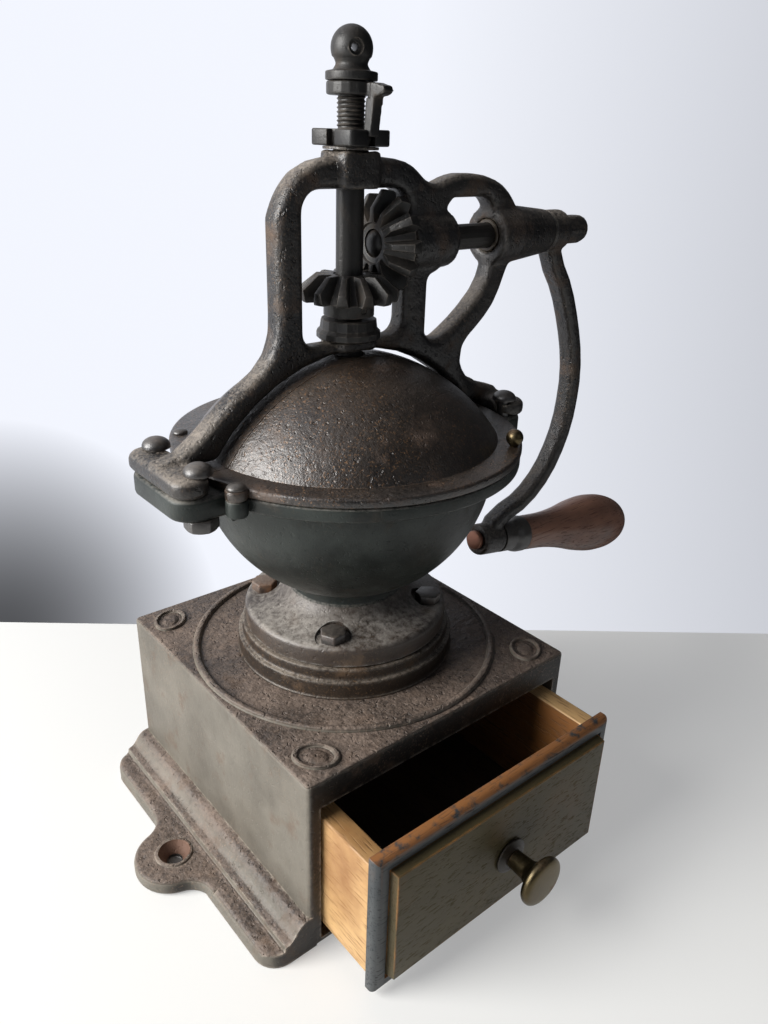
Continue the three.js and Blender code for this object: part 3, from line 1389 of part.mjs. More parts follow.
addPiece('base_casting', makeBase(), paints.iron);
addPiece('hopper_bowl', makeBowl(), paints.bowl);
addPiece('frame', makeFrame(), paints.iron);
addPiece('lid', makeLid(), paints.rusty);
addPiece('rear_dome', makeRearDome(), paints.rusty);
addPiece('lid_knob', makeLidKnob(), paints.brass);
addFasteners();
addBushes();
addGears();
addGrindingSet();
addSpindleTop();
addCrank();
addDrawer();

export default grinder;
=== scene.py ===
# %% [markdown]
# # A counter coffee grinder in old cast iron, steel, brass and wood
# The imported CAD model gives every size. This lesson dresses it: round pieces are turned afresh with
# many steps, castings get the soft edges that a sand mould leaves, and each surface gets a material
# built from nodes. Every piece then rides on its CAD body, so that the crank, lid and drawer move.

# %% Load the frame
import math

import bmesh
import bpy
from mathutils import Matrix, Quaternion, Vector


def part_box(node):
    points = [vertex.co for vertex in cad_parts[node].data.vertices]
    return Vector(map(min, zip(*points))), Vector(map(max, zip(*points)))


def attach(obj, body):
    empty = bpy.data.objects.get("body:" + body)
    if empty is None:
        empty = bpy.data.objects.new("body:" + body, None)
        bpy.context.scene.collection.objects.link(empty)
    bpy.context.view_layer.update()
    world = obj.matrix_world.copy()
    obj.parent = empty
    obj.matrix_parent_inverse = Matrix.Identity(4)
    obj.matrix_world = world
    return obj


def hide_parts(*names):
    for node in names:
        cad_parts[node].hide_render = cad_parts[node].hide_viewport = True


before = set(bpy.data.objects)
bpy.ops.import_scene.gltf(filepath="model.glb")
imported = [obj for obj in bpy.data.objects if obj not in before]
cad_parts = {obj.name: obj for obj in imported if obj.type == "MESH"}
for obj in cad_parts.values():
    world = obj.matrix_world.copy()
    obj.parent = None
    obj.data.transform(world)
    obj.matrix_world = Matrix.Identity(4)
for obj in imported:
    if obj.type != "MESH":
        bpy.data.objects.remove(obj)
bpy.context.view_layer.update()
MM = 0.001
UP, ALONG, FRONT = Vector((0, 0, 1)), Vector((1, 0, 0)), Vector((0, -1, 0))

# %% [markdown]
# ## The camera
# The photograph was taken from the front left, a little above. The lens and place were worked out
# from the base's straight edges and the round rims. Blender measures the lens against the long side
# of the picture, so the focal length in pixels is divided by 1024 and multiplied by the sensor width.

# %% Camera
FOCAL_PX, PICTURE_LONG, SENSOR = 829.272, 1024, 36.0
AZIMUTH, ELEVATION, ROLL = (math.radians(v) for v in (-40.43668, 24.84913, 1.88537))
back = Vector((math.sin(AZIMUTH) * math.cos(ELEVATION), -math.cos(AZIMUTH) * math.cos(ELEVATION), math.sin(ELEVATION)))
right = (-back).cross(UP).normalized()
above = right.cross(-back)
tilted_right = right * math.cos(ROLL) + above * math.sin(ROLL)
tilted_up = -right * math.sin(ROLL) + above * math.cos(ROLL)
camera = bpy.data.objects.new("camera", bpy.data.cameras.new("camera"))
bpy.context.scene.collection.objects.link(camera)
camera.data.sensor_width = SENSOR
camera.data.lens = FOCAL_PX / PICTURE_LONG * SENSOR
camera.data.clip_start = 0.01
camera.matrix_world = Matrix((
    (tilted_right.x, tilted_up.x, back.x, -0.28072), (tilted_right.y, tilted_up.y, back.y, -0.36485),
    (tilted_right.z, tilted_up.z, back.z, 0.41936), (0, 0, 0, 1)))
bpy.context.scene.camera = camera
print("lens", round(camera.data.lens, 2), "mm")

# %% [markdown]
# ## Table, window light and backdrop
# The grinder stands on a white table top that ends just behind it, before a pale wall. A large soft
# lamp on the left and a little behind is the window. The wall is only a colour of the world that the
# camera and mirrors see, so that it adds no light of its own.

# %% Table, lamps and world
def clear_selection():
    if bpy.context.object and bpy.context.object.mode != "OBJECT":
        bpy.ops.object.mode_set(mode="OBJECT")
    bpy.ops.object.select_all(action="DESELECT")


def pick(piece):
    clear_selection()
    piece.select_set(True)
    bpy.context.view_layer.objects.active = piece


def edit(piece):
    pick(piece)
    bpy.ops.object.mode_set(mode="EDIT")
    bpy.ops.mesh.select_all(action="SELECT")


def done():
    bpy.ops.object.mode_set(mode="OBJECT")


def tree_of(material):
    material.use_nodes = True
    nodes, links = material.node_tree.nodes, material.node_tree.links
    return nodes, links, nodes.get("Principled BSDF")


TABLE_EDGE = (Vector((-1.45, 1.40, 0)), Vector((1.36, -0.84, 0)))
TABLE_DEPTH = Vector((-0.95, -1.2, 0))
clear_selection()
bpy.ops.mesh.primitive_plane_add(size=2, location=(0, 0, -0.0006))
table = bpy.context.object
table.name = "table_top"
corners = [TABLE_EDGE[0] + TABLE_DEPTH, TABLE_EDGE[1] + TABLE_DEPTH, TABLE_EDGE[1], TABLE_EDGE[0]]
for vertex in table.data.vertices:
    number = (0 if vertex.co.x < 0 else 1) if vertex.co.y < 0 else (3 if vertex.co.x < 0 else 2)
    vertex.co = corners[number]
edit(table)
bpy.ops.mesh.extrude_region_move(TRANSFORM_OT_translate={"value": (0, 0, -0.02)})
bpy.ops.mesh.select_all(action="SELECT")
bpy.ops.mesh.normals_make_consistent(inside=False)
done()
paint = bpy.data.materials.new("white_table")
nodes, links, shader = tree_of(paint)
shader.inputs["Base Color"].default_value = (0.86, 0.86, 0.84, 1)
shader.inputs["Roughness"].default_value = 0.45
glow, blend = nodes.new("ShaderNodeEmission"), nodes.new("ShaderNodeMixShader")
rays = nodes.new("ShaderNodeLightPath")
either, both, part = (nodes.new("ShaderNodeMath") for _ in range(3))
either.operation = both.operation = "MAXIMUM"
part.operation = "MULTIPLY"
part.inputs[1].default_value = 0.36
links.new(rays.outputs["Is Camera Ray"], either.inputs[0])
links.new(rays.outputs["Is Glossy Ray"], either.inputs[1])
links.new(either.outputs[0], both.inputs[0])
links.new(rays.outputs["Is Transmission Ray"], both.inputs[1])
links.new(both.outputs[0], part.inputs[0])
links.new(part.outputs[0], blend.inputs["Fac"])
links.new(shader.outputs[0], blend.inputs[1])
links.new(glow.outputs[0], blend.inputs[2])
links.new(blend.outputs[0], nodes.get("Material Output").inputs["Surface"])
table.data.materials.append(paint)


def area_lamp(name, place, target, size, power, colour):
    lamp = bpy.data.objects.new(name, bpy.data.lights.new(name, "AREA"))
    bpy.context.scene.collection.objects.link(lamp)
    lamp.data.shape = "RECTANGLE"
    lamp.data.size, lamp.data.size_y = size
    lamp.data.energy, lamp.data.color = power, colour
    lamp.location = place
    lamp.rotation_mode = "QUATERNION"
    lamp.rotation_quaternion = (Vector(target) - Vector(place)).to_track_quat("-Z", "Y")
    return lamp


area_lamp("window", (-1.5, 0.45, 0.95), (0, 0, 0.2), (1.1, 1.3), 66, (1.0, 0.985, 0.96))
area_lamp("room", (0.4, -1.5, 0.9), (0, 0, 0.2), (1.2, 1.0), 1.0, (0.9, 0.95, 1.0))
print("two lamps")

# %% [markdown]
# ## The pale wall
# The world is only a faint fill light for the metal. Rays from the camera, and those that metal or
# glass send on, see a pale wall instead. The wall is white near the window, a little greyer to the
# right and dim in one corner, and for reflections the room in front of it is dark, as a room is
# when all its light comes from one window.

# %% World
def add_node(tree, kind, **values):
    node = tree.nodes.new(kind)
    for key, value in values.items():
        if hasattr(node, key):
            setattr(node, key, value)
        else:
            node.inputs[key.replace("_", " ")].default_value = value
    return node


def ranged(tree, value, low, high, to_low=0.0, to_high=1.0):
    node = add_node(tree, "ShaderNodeMapRange", clamp=True)
    tree.links.new(value, node.inputs["Value"])
    for label, number in (("From Min", low), ("From Max", high), ("To Min", to_low), ("To Max", to_high)):
        if isinstance(number, (int, float)):
            node.inputs[label].default_value = number
        else:
            tree.links.new(number, node.inputs[label])
    return node.outputs["Result"]


def maths(tree, operation, one, two=None):
    node = add_node(tree, "ShaderNodeMath", operation=operation)
    for socket, value in zip(node.inputs, (one, two)):
        if isinstance(value, (int, float)):
            socket.default_value = value
        elif value is not None:
            tree.links.new(value, socket)
    return node.outputs[0]


world = bpy.data.worlds.new("pale_wall")
bpy.context.scene.world = world
world.use_nodes = True
room = world.node_tree
room.nodes.clear()
facing_way = add_node(room, "ShaderNodeTexCoord").outputs["Generated"]


def towards(direction):
    node = add_node(room, "ShaderNodeVectorMath", operation="DOT_PRODUCT")
    room.links.new(facing_way, node.inputs[0])
    node.inputs[1].default_value = direction
    return node.outputs["Value"]


light, wall = add_node(room, "ShaderNodeBackground"), add_node(room, "ShaderNodeBackground")
light.inputs["Color"].default_value = (0.80, 0.86, 1.0, 1)
light.inputs["Strength"].default_value = 0.08
wall.inputs["Color"].default_value = (0.90, 0.925, 1.0, 1)
path = add_node(room, "ShaderNodeLightPath")
dim_corner = (-back - tilted_right * 0.463 - tilted_up * 0.15).normalized()
shade = maths(room, "MULTIPLY", ranged(room, towards(right), 0.02, 0.42, 1.0, 0.67),
              ranged(room, towards(dim_corner), 0.972, 0.9998, 1.0, 0.1))
lit_half = ranged(room, towards((-0.6, 0.8, 0.0)), -0.15, 0.35, 0.06, 1.0)
room.links.new(maths(room, "MULTIPLY", shade, maths(room, "MAXIMUM", lit_half, path.outputs["Is Camera Ray"])),
               wall.inputs["Strength"])
seen = maths(room, "MAXIMUM", path.outputs["Is Camera Ray"],
             maths(room, "MAXIMUM", path.outputs["Is Glossy Ray"], path.outputs["Is Transmission Ray"]))
mix, out = add_node(room, "ShaderNodeMixShader"), add_node(room, "ShaderNodeOutputWorld")
room.links.new(seen, mix.inputs["Fac"])
room.links.new(light.outputs["Background"], mix.inputs[1])
room.links.new(wall.outputs["Background"], mix.inputs[2])
room.links.new(mix.outputs["Shader"], out.inputs["Surface"])
bpy.context.scene.view_settings.view_transform = "Standard"
print(len(room.nodes), "world nodes")

# %% [markdown]
# ## Node groups
# Several materials share the same effects, so each effect is a small node group: the grain that sand
# casting leaves, cloudy patches of rust or handling, bright metal along worn edges, dust that settles
# on faces that look up with a mask of front faces for painted shade, and wood grain. A group only puts
# out masks and heights. The shader that turns them into a finish stays in each material.

# %% Node groups
def new_group(name, inputs, outputs):
    group = bpy.data.node_groups.new(name, "ShaderNodeTree")
    for label, default in inputs:
        kind = "NodeSocketVector" if isinstance(default, tuple) else "NodeSocketFloat"
        socket = group.interface.new_socket(name=label, in_out="INPUT", socket_type=kind)
        socket.default_value = default
    for label in outputs:
        group.interface.new_socket(name=label, in_out="OUTPUT", socket_type="NodeSocketFloat")
    return group, group.nodes.new("NodeGroupInput"), group.nodes.new("NodeGroupOutput")


def noise(tree, scale, detail=4.0, rough=0.55, vector=None):
    node = add_node(tree, "ShaderNodeTexNoise")
    node.inputs["Detail"].default_value = detail
    node.inputs["Roughness"].default_value = rough
    if isinstance(scale, (int, float)):
        node.inputs["Scale"].default_value = scale
    else:
        tree.links.new(scale, node.inputs["Scale"])
    if vector is not None:
        tree.links.new(vector, node.inputs["Vector"])
    return node.outputs["Fac"]


def object_place(tree):
    return add_node(tree, "ShaderNodeTexCoord").outputs["Object"]


# Sand-cast grain: fine grit, soft dimples and a few pits. Size is the grit's grain in metres.
cast_group, inside, outside = new_group("cast_grain", [("Grit", 900.0), ("Pits", 0.5)], ["Height", "Pit"])
place = object_place(cast_group)
grit = noise(cast_group, inside.outputs["Grit"], 3, 0.6, place)
soft = noise(cast_group, 160, 3, 0.5, place)
pit_noise = noise(cast_group, 330, 2, 0.5, place)
pit = maths(cast_group, "MULTIPLY", ranged(cast_group, pit_noise, 0.62, 0.72), inside.outputs["Pits"])
height = maths(cast_group, "ADD", maths(cast_group, "MULTIPLY", grit, 0.45), maths(cast_group, "MULTIPLY", soft, 0.9))
cast_group.links.new(maths(cast_group, "SUBTRACT", height, pit), outside.inputs["Height"])
cast_group.links.new(pit, outside.inputs["Pit"])

# Clouds: soft patches with a broken edge
cloud_group, inside, outside = new_group(
    "clouds", [("Scale", 18.0), ("Low", 0.45), ("High", 0.6), ("Shift", 0.0)], ["Mask"])
move = add_node(cloud_group, "ShaderNodeMapping")
spread = add_node(cloud_group, "ShaderNodeCombineXYZ")
for axis in ("X", "Y", "Z"):
    cloud_group.links.new(inside.outputs["Shift"], spread.inputs[axis])
cloud_group.links.new(object_place(cloud_group), move.inputs["Vector"])
cloud_group.links.new(spread.outputs[0], move.inputs["Location"])
patch = noise(cloud_group, inside.outputs["Scale"], 7, 0.62, move.outputs[0])
mask = ranged(cloud_group, patch, inside.outputs["Low"], inside.outputs["High"])
cloud_group.links.new(mask, outside.inputs["Mask"])

# Worn edges: where a rounded normal departs from the true one, broken up by grit
edge_group, inside, outside = new_group("worn_edges", [("Radius", 0.0015), ("Break", 260.0)], ["Mask"])
rounded_edge = add_node(edge_group, "ShaderNodeBevel", samples=4)
edge_group.links.new(inside.outputs["Radius"], rounded_edge.inputs["Radius"])
true_normal = add_node(edge_group, "ShaderNodeNewGeometry")
dot = add_node(edge_group, "ShaderNodeVectorMath", operation="DOT_PRODUCT")
edge_group.links.new(rounded_edge.outputs[0], dot.inputs[0])
edge_group.links.new(true_normal.outputs["Normal"], dot.inputs[1])
bent = ranged(edge_group, dot.outputs["Value"], 0.995, 0.86)
broken = ranged(edge_group, noise(edge_group, inside.outputs["Break"], 4, 0.6, object_place(edge_group)), 0.38, 0.6)
edge_group.links.new(maths(edge_group, "MULTIPLY", bent, broken), outside.inputs["Mask"])

# Dust: settles on faces that look up, in small grains and in soft drifts. The group also marks faces that look to the
# front, for painted shade
dust_and_front_shade_group, inside, outside = new_group("dust_and_front_shade_nodes", [("Grain", 520.0), ("Amount", 0.6), ("From", 0.55), ("Full", 0.9)],
                                       ["Mask", "Up", "FrontShade"])
look = add_node(dust_and_front_shade_group, "ShaderNodeTexCoord")
split = add_node(dust_and_front_shade_group, "ShaderNodeSeparateXYZ")
dust_and_front_shade_group.links.new(look.outputs["Normal"], split.inputs[0])
facing = ranged(dust_and_front_shade_group, split.outputs["Z"], 0.35, 0.95)
speck = noise(dust_and_front_shade_group, inside.outputs["Grain"], 5, 0.7, look.outputs["Object"])
drift = noise(dust_and_front_shade_group, 26, 3, 0.5, look.outputs["Object"])
grains = ranged(dust_and_front_shade_group, maths(dust_and_front_shade_group, "ADD", speck, maths(dust_and_front_shade_group, "MULTIPLY", drift, 0.8)), 0.72, 1.12)
amount = maths(dust_and_front_shade_group, "MULTIPLY", maths(dust_and_front_shade_group, "MULTIPLY", facing, grains), inside.outputs["Amount"])
dust_and_front_shade_group.links.new(amount, outside.inputs["Mask"])
upward = ranged(dust_and_front_shade_group, split.outputs["Z"], inside.outputs["From"], inside.outputs["Full"])
dust_and_front_shade_group.links.new(upward, outside.inputs["Up"])
dust_and_front_shade_group.links.new(ranged(dust_and_front_shade_group, split.outputs["Y"], -0.7, -0.95), outside.inputs["FrontShade"])

# Wood: long grain stretched along one axis, with fine pores
wood_group, inside, outside = new_group(
    "wood_grain", [("Stretch", (1.0, 0.06, 1.0)), ("Turn", (0.0, 0.0, 0.0)), ("Rings", 60.0)],
    ["Grain", "Pore", "Knot"])
move = add_node(wood_group, "ShaderNodeMapping")
wood_group.links.new(object_place(wood_group), move.inputs["Vector"])
wood_group.links.new(inside.outputs["Turn"], move.inputs["Rotation"])
wood_group.links.new(inside.outputs["Stretch"], move.inputs["Scale"])
bend = noise(wood_group, 12, 3, 0.5, move.outputs[0])
grain = noise(wood_group, inside.outputs["Rings"], 8, 0.6, move.outputs[0])
wood_group.links.new(ranged(wood_group, grain, 0.3, 0.7), outside.inputs["Grain"])
pore = noise(wood_group, 900, 2, 0.5, move.outputs[0])
wood_group.links.new(ranged(wood_group, pore, 0.56, 0.66), outside.inputs["Pore"])
wood_group.links.new(ranged(wood_group, bend, 0.4, 0.62), outside.inputs["Knot"])
print(len(bpy.data.node_groups), "groups")

# %% [markdown]
# ## Materials
# Old iron is not one colour. A base tone is mixed with a second one in clouds, rust is laid over it
# in patches, dust on top, and rubbed metal along the edges. The base also gets painted shade, a near-black
# colour on its faces that look to the front. The same steps with other colours give the lid, the bowl,
# the frame and the steel, so one function makes them all from a few values.

# %% Metal materials
def coloured(tree, mask, one, two):
    node = add_node(tree, "ShaderNodeMix", data_type="RGBA")
    tree.links.new(mask, node.inputs["Factor"])
    for label, colour in (("A", one), ("B", two)):
        socket = [s for s in node.inputs if s.name == label and s.type == "RGBA"][0]
        if isinstance(colour, tuple):
            socket.default_value = (*colour, 1)
        else:
            tree.links.new(colour, socket)
    return [s for s in node.outputs if s.type == "RGBA"][0]


def grouped(tree, group, **values):
    node = tree.nodes.new("ShaderNodeGroup")
    node.node_tree = group
    for key, value in values.items():
        node.inputs[key].default_value = value
    return node


def old_metal(name, dark, light, rust, rubbed, dust, **look):
    settings = {"metallic": 0.1, "rough": 0.44, "grit": 900.0, "pits": 0.5, "bump": 0.00022, "rust_low": 0.55,
                "rust_high": 0.75, "dust_amount": 0.6, "edge": 0.0012, "cloud": 16.0, "rust_scale": 48.0,
                "shift": 0.0, "ior": 1.6, "top": None, "front": None, "dust_grain": 520.0, "speck": None, "side_bump": 1.0}
    settings.update(look)
    material = bpy.data.materials.new(name)
    nodes, links, shader = tree_of(material)
    tree = material.node_tree
    cloud = grouped(tree, cloud_group, Scale=settings["cloud"], Low=0.4, High=0.62, Shift=settings["shift"])
    rusty = grouped(tree, cloud_group, Scale=settings["rust_scale"], Low=settings["rust_low"],
                    High=settings["rust_high"], Shift=settings["shift"] + 3.1)
    grain = grouped(tree, cast_group, Grit=settings["grit"], Pits=settings["pits"])
    edges = grouped(tree, edge_group, Radius=settings["edge"])
    dust_and_front_shade = grouped(tree, dust_and_front_shade_group, Amount=settings["dust_amount"], Grain=settings["dust_grain"])
    colour = coloured(tree, cloud.outputs["Mask"], dark, light)
    if settings["top"]:
        colour = coloured(tree, maths(tree, "MULTIPLY", dust_and_front_shade.outputs["Up"], 0.85), colour, settings["top"])
    # Painted shade: faces that look to the front are mixed towards a near-black colour.
    if settings["front"]:
        colour = coloured(tree, dust_and_front_shade.outputs["FrontShade"], colour, settings["front"])
    colour = coloured(tree, rusty.outputs["Mask"], colour, rust)
    if settings["speck"]:
        fine = grouped(tree, cloud_group, Scale=760.0, Low=0.56, High=0.66, Shift=settings["shift"] + 7.7)
        wide = grouped(tree, cloud_group, Scale=13.0, Low=0.42, High=0.62, Shift=settings["shift"] + 5.2)
        specks = maths(tree, "MULTIPLY", fine.outputs["Mask"], wide.outputs["Mask"])
        colour = coloured(tree, specks, colour, settings["speck"])
    colour = coloured(tree, dust_and_front_shade.outputs["Mask"], colour, dust)
    colour = coloured(tree, edges.outputs["Mask"], colour, rubbed)
    links.new(colour, shader.inputs["Base Color"])
    covered = maths(tree, "MAXIMUM", rusty.outputs["Mask"], dust_and_front_shade.outputs["Mask"])
    links.new(ranged(tree, covered, 0, 1, settings["rough"], 0.8), shader.inputs["Roughness"])
    links.new(ranged(tree, covered, 0, 1, settings["metallic"], 0.0), shader.inputs["Metallic"])
    shader.inputs["IOR"].default_value = settings["ior"]
    bump = add_node(tree, "ShaderNodeBump")
    bump.inputs["Distance"].default_value = settings["bump"]
    rough_top = ranged(tree, dust_and_front_shade.outputs["Up"], 0, 1, settings["side_bump"], 1.0)
    links.new(maths(tree, "MULTIPLY", grain.outputs["Height"], rough_top), bump.inputs["Height"])
    links.new(bump.outputs["Normal"], shader.inputs["Normal"])
    return material


# Painted shade: the near-black colour on the base's faces that look to the front stands in for shade.
base_iron = old_metal(
    "base_iron", (0.090, 0.080, 0.064), (0.148, 0.134, 0.110), (0.105, 0.066, 0.042), (0.34, 0.295, 0.245),
    (0.26, 0.195, 0.155), top=(0.034, 0.022, 0.018), front=(0.010, 0.007, 0.005), speck=(0.22, 0.155, 0.11),
    dust_amount=0.66, dust_grain=380.0, grit=480.0, bump=0.0015, ior=1.5, rough=0.52, side_bump=0.22, edge=0.003)
pad_iron = old_metal(
    "pad_iron", (0.018, 0.013, 0.010), (0.036, 0.026, 0.019), (0.11, 0.066, 0.036), (0.28, 0.25, 0.215),
    (0.26, 0.22, 0.18), speck=(0.14, 0.085, 0.045), dust_amount=0.8, grit=800.0, bump=0.0004, rough=0.4,
    edge=0.0026, ior=1.4)
neck_iron = old_metal(
    "neck_iron", (0.032, 0.023, 0.018), (0.058, 0.043, 0.034), (0.10, 0.065, 0.040), (0.30, 0.29, 0.27),
    (0.33, 0.305, 0.275), dust_amount=0.9, dust_grain=300.0, grit=900.0, bump=0.0003, rough=0.4, edge=0.0026,
    speck=(0.12, 0.08, 0.045))
rust_seat = old_metal(
    "rust_seat", (0.10, 0.052, 0.034), (0.16, 0.085, 0.056), (0.19, 0.095, 0.06), (0.24, 0.15, 0.11),
    (0.2, 0.13, 0.10), dust_amount=0.4, grit=900.0, bump=0.0005, ior=1.5, rough=0.75)
bowl_iron = old_metal(
    "bowl_iron", (0.011, 0.014, 0.013), (0.030, 0.036, 0.033), (0.035, 0.029, 0.022), (0.12, 0.12, 0.11),
    (0.30, 0.28, 0.25), speck=(0.055, 0.045, 0.034), dust_amount=0.8, grit=1100.0, bump=0.00025, rough=0.4,
    rust_low=0.56, rust_high=0.78, cloud=24.0, ior=1.36)
frame_iron = old_metal(
    "frame_iron", (0.009, 0.0085, 0.009), (0.024, 0.021, 0.019), (0.070, 0.043, 0.027), (0.19, 0.165, 0.135),
    (0.36, 0.31, 0.26), speck=(0.14, 0.095, 0.06), dust_amount=0.85, grit=620.0, bump=0.0008, rough=0.36,
    ior=1.52, edge=0.003, cloud=26.0, rust_low=0.53, rust_high=0.72)
lid_iron = old_metal(
    "lid_iron", (0.008, 0.007, 0.0065), (0.027, 0.019, 0.014), (0.062, 0.033, 0.018), (0.14, 0.095, 0.065),
    (0.15, 0.115, 0.09), speck=(0.23, 0.125, 0.06), dust_amount=0.3, grit=900.0, bump=0.0006, rough=0.3,
    pits=0.4, ior=1.72)
worn_steel = old_metal(
    "worn_steel", (0.009, 0.009, 0.009), (0.022, 0.020, 0.018), (0.045, 0.032, 0.022), (0.15, 0.13, 0.11),
    (0.12, 0.10, 0.085), dust_amount=0.35, grit=1500.0, bump=0.0002, rough=0.42, edge=0.001, ior=1.45)
bolt_iron = old_metal(
    "bolt_iron", (0.015, 0.013, 0.013), (0.034, 0.030, 0.027), (0.08, 0.048, 0.032), (0.17, 0.14, 0.12),
    (0.20, 0.17, 0.14), dust_amount=0.5, grit=1400.0, bump=0.0002, rough=0.36, ior=1.8)
rusty_bolt = old_metal(
    "rusty_bolt", (0.075, 0.050, 0.038), (0.12, 0.085, 0.065), (0.24, 0.115, 0.055), (0.24, 0.18, 0.14),
    (0.26, 0.2, 0.16), dust_amount=0.7, grit=1400.0, bump=0.0003, rough=0.6, rust_low=0.48, rust_high=0.62)
bronze = old_metal(
    "bronze", (0.013, 0.010, 0.008), (0.028, 0.021, 0.014), (0.045, 0.03, 0.02), (0.14, 0.11, 0.075),
    (0.12, 0.10, 0.08), ior=1.45, metallic=0.1, rough=0.4, grit=1500.0, bump=0.00008, dust_amount=0.3)
brass = old_metal(
    "brass", (0.060, 0.047, 0.025), (0.115, 0.090, 0.048), (0.16, 0.072, 0.033), (0.36, 0.22, 0.115),
    (0.3, 0.25, 0.17), metallic=1.0, rough=0.34, grit=1500.0, bump=0.00006, dust_amount=0.2, rust_scale=70.0)
copper_end = old_metal(
    "copper_end", (0.17, 0.07, 0.045), (0.34, 0.15, 0.095), (0.13, 0.06, 0.04), (0.5, 0.3, 0.21),
    (0.3, 0.2, 0.15), metallic=0.6, rough=0.42, grit=1500.0, bump=0.0001, dust_amount=0.2)
print(len(bpy.data.materials), "materials")

# %% [markdown]
# ## Wood materials
# The drawer's boards are a light orange wood, clean because they sit inside the base. The drawer's
# bottom and back boards and the left board's inner face get painted shade, a near-black wood. Its front
# is dark with handling and rubbed back to orange along its edges. The grip is stained red brown and
# polished by hands.

# %% Wood materials
def old_wood(name, dark, light, pore_colour, worn, stretch, turn=(0, 0, 0), **look):
    settings = {"rings": 60.0, "rough": 0.5, "edge": 0.002, "stain": None, "stain_low": 0.5, "stain_high": 0.7,
                "bump": 0.00012, "edge_break": 90.0, "coat": 0.0, "pores": 0.55, "upper": None}
    settings.update(look)
    material = bpy.data.materials.new(name)
    nodes, links, shader = tree_of(material)
    tree = material.node_tree
    wood = grouped(tree, wood_group, Stretch=stretch, Turn=turn, Rings=settings["rings"])
    edges = grouped(tree, edge_group, Radius=settings["edge"], Break=settings["edge_break"])
    colour = coloured(tree, wood.outputs["Grain"], dark, light)
    if settings["upper"]:
        handled = grouped(tree, dust_and_front_shade_group, Amount=1.0, From=0.1, Full=0.5)
        bare = grouped(tree, cloud_group, Scale=150.0, Low=0.36, High=0.5)
        rubbed_off = maths(tree, "MULTIPLY", handled.outputs["Up"], bare.outputs["Mask"])
        colour = coloured(tree, rubbed_off, colour, settings["upper"])
    colour = coloured(tree, maths(tree, "MULTIPLY", wood.outputs["Pore"], settings["pores"]), colour, pore_colour)
    if settings["stain"]:
        stain = grouped(tree, cloud_group, Scale=14.0, Low=settings["stain_low"], High=settings["stain_high"])
        colour = coloured(tree, stain.outputs["Mask"], colour, settings["stain"])
    colour = coloured(tree, edges.outputs["Mask"], colour, worn)
    links.new(colour, shader.inputs["Base Color"])
    links.new(ranged(tree, wood.outputs["Pore"], 0, 1, settings["rough"], 0.8), shader.inputs["Roughness"])
    shader.inputs["Coat Weight"].default_value = settings["coat"]
    shader.inputs["Coat Roughness"].default_value = 0.25
    bump = add_node(tree, "ShaderNodeBump")
    bump.inputs["Distance"].default_value = settings["bump"]
    carved = maths(tree, "SUBTRACT", wood.outputs["Grain"], wood.outputs["Pore"])
    links.new(carved, bump.inputs["Height"])
    links.new(bump.outputs["Normal"], shader.inputs["Normal"])
    return material


board_wood = old_wood(
    "board_wood", (0.44, 0.25, 0.095), (0.64, 0.41, 0.19), (0.16, 0.08, 0.03), (0.26, 0.15, 0.075),
    (1.0, 0.09, 1.0), rings=60.0, stain=(0.27, 0.13, 0.045), stain_low=0.5, stain_high=0.72)
front_wood = old_wood(
    "front_wood", (0.056, 0.045, 0.021), (0.090, 0.072, 0.035), (0.04, 0.028, 0.018), (0.42, 0.18, 0.05),
    (0.25, 1.0, 1.0), rings=22.0, rough=0.46, edge=0.002, coat=0.06, pores=0.15, edge_break=45.0,
    stain=(0.125, 0.075, 0.035), stain_low=0.5, stain_high=0.8)
front_wood.node_tree.nodes["Principled BSDF"].inputs["IOR"].default_value = 1.3
# Painted shade: near-black wood that stands in for the shade inside the drawer.
inner_wood_painted_shade = old_wood(
    "inner_wood_painted_shade", (0.030, 0.018, 0.010), (0.060, 0.036, 0.018), (0.015, 0.010, 0.006), (0.10, 0.06, 0.03),
    (1.0, 0.09, 1.0), rings=60.0, rough=0.7)
stained_wood = old_wood(
    "stained_wood", (0.17, 0.066, 0.018), (0.30, 0.125, 0.034), (0.05, 0.03, 0.02), (0.42, 0.25, 0.12),
    (1.0, 0.06, 1.0), rings=40.0, rough=0.5)
edge_wood = old_wood(
    "edge_wood", (0.026, 0.031, 0.035), (0.048, 0.054, 0.056), (0.012, 0.010, 0.010), (0.12, 0.10, 0.085),
    (0.09, 1.0, 1.0), rings=50.0, rough=0.45, edge=0.001, pores=0.3, upper=(0.25, 0.105, 0.035))
grip_wood = old_wood(
    "grip_wood", (0.19, 0.082, 0.050), (0.42, 0.21, 0.135), (0.07, 0.035, 0.024), (0.38, 0.21, 0.14),
    (0.07, 1.0, 1.0), (0, math.radians(-10), 0), rings=55.0, rough=0.36, coat=0.3,
    stain=(0.08, 0.042, 0.03), stain_low=0.5, stain_high=0.75)
print(len(bpy.data.materials), "materials")

# %% [markdown]
# ## Turned pieces
# Most of the grinder was turned on a lathe or cast round. In Blender the same thing is done by
# drawing half of the outline, one corner after another, and spinning it about the middle line. The
# outline's sharp corners are rounded first. A piece that lies along another axis is turned and moved
# at the end, and its place is then applied to the mesh.

# %% Helpers for turned pieces
def softened(profile, radius, parts=3):
    points = []
    for number, (r, z) in enumerate(profile):
        here = Vector((r, z))
        if number in (0, len(profile) - 1) or r < 1e-6:
            points.append((r, z))
            continue
        before, after = Vector(profile[number - 1]) - here, Vector(profile[number + 1]) - here
        reach = min(radius, before.length * 0.45, after.length * 0.45)
        start, end = here + before.normalized() * reach, here + after.normalized() * reach
        if before.angle(after, math.pi) > math.radians(168):
            points.append((r, z))
            continue
        for step in range(parts + 1):
            t = step / parts
            point = start * (1 - t) ** 2 + here * 2 * t * (1 - t) + end * t ** 2
            points.append((point.x, point.y))
    return points


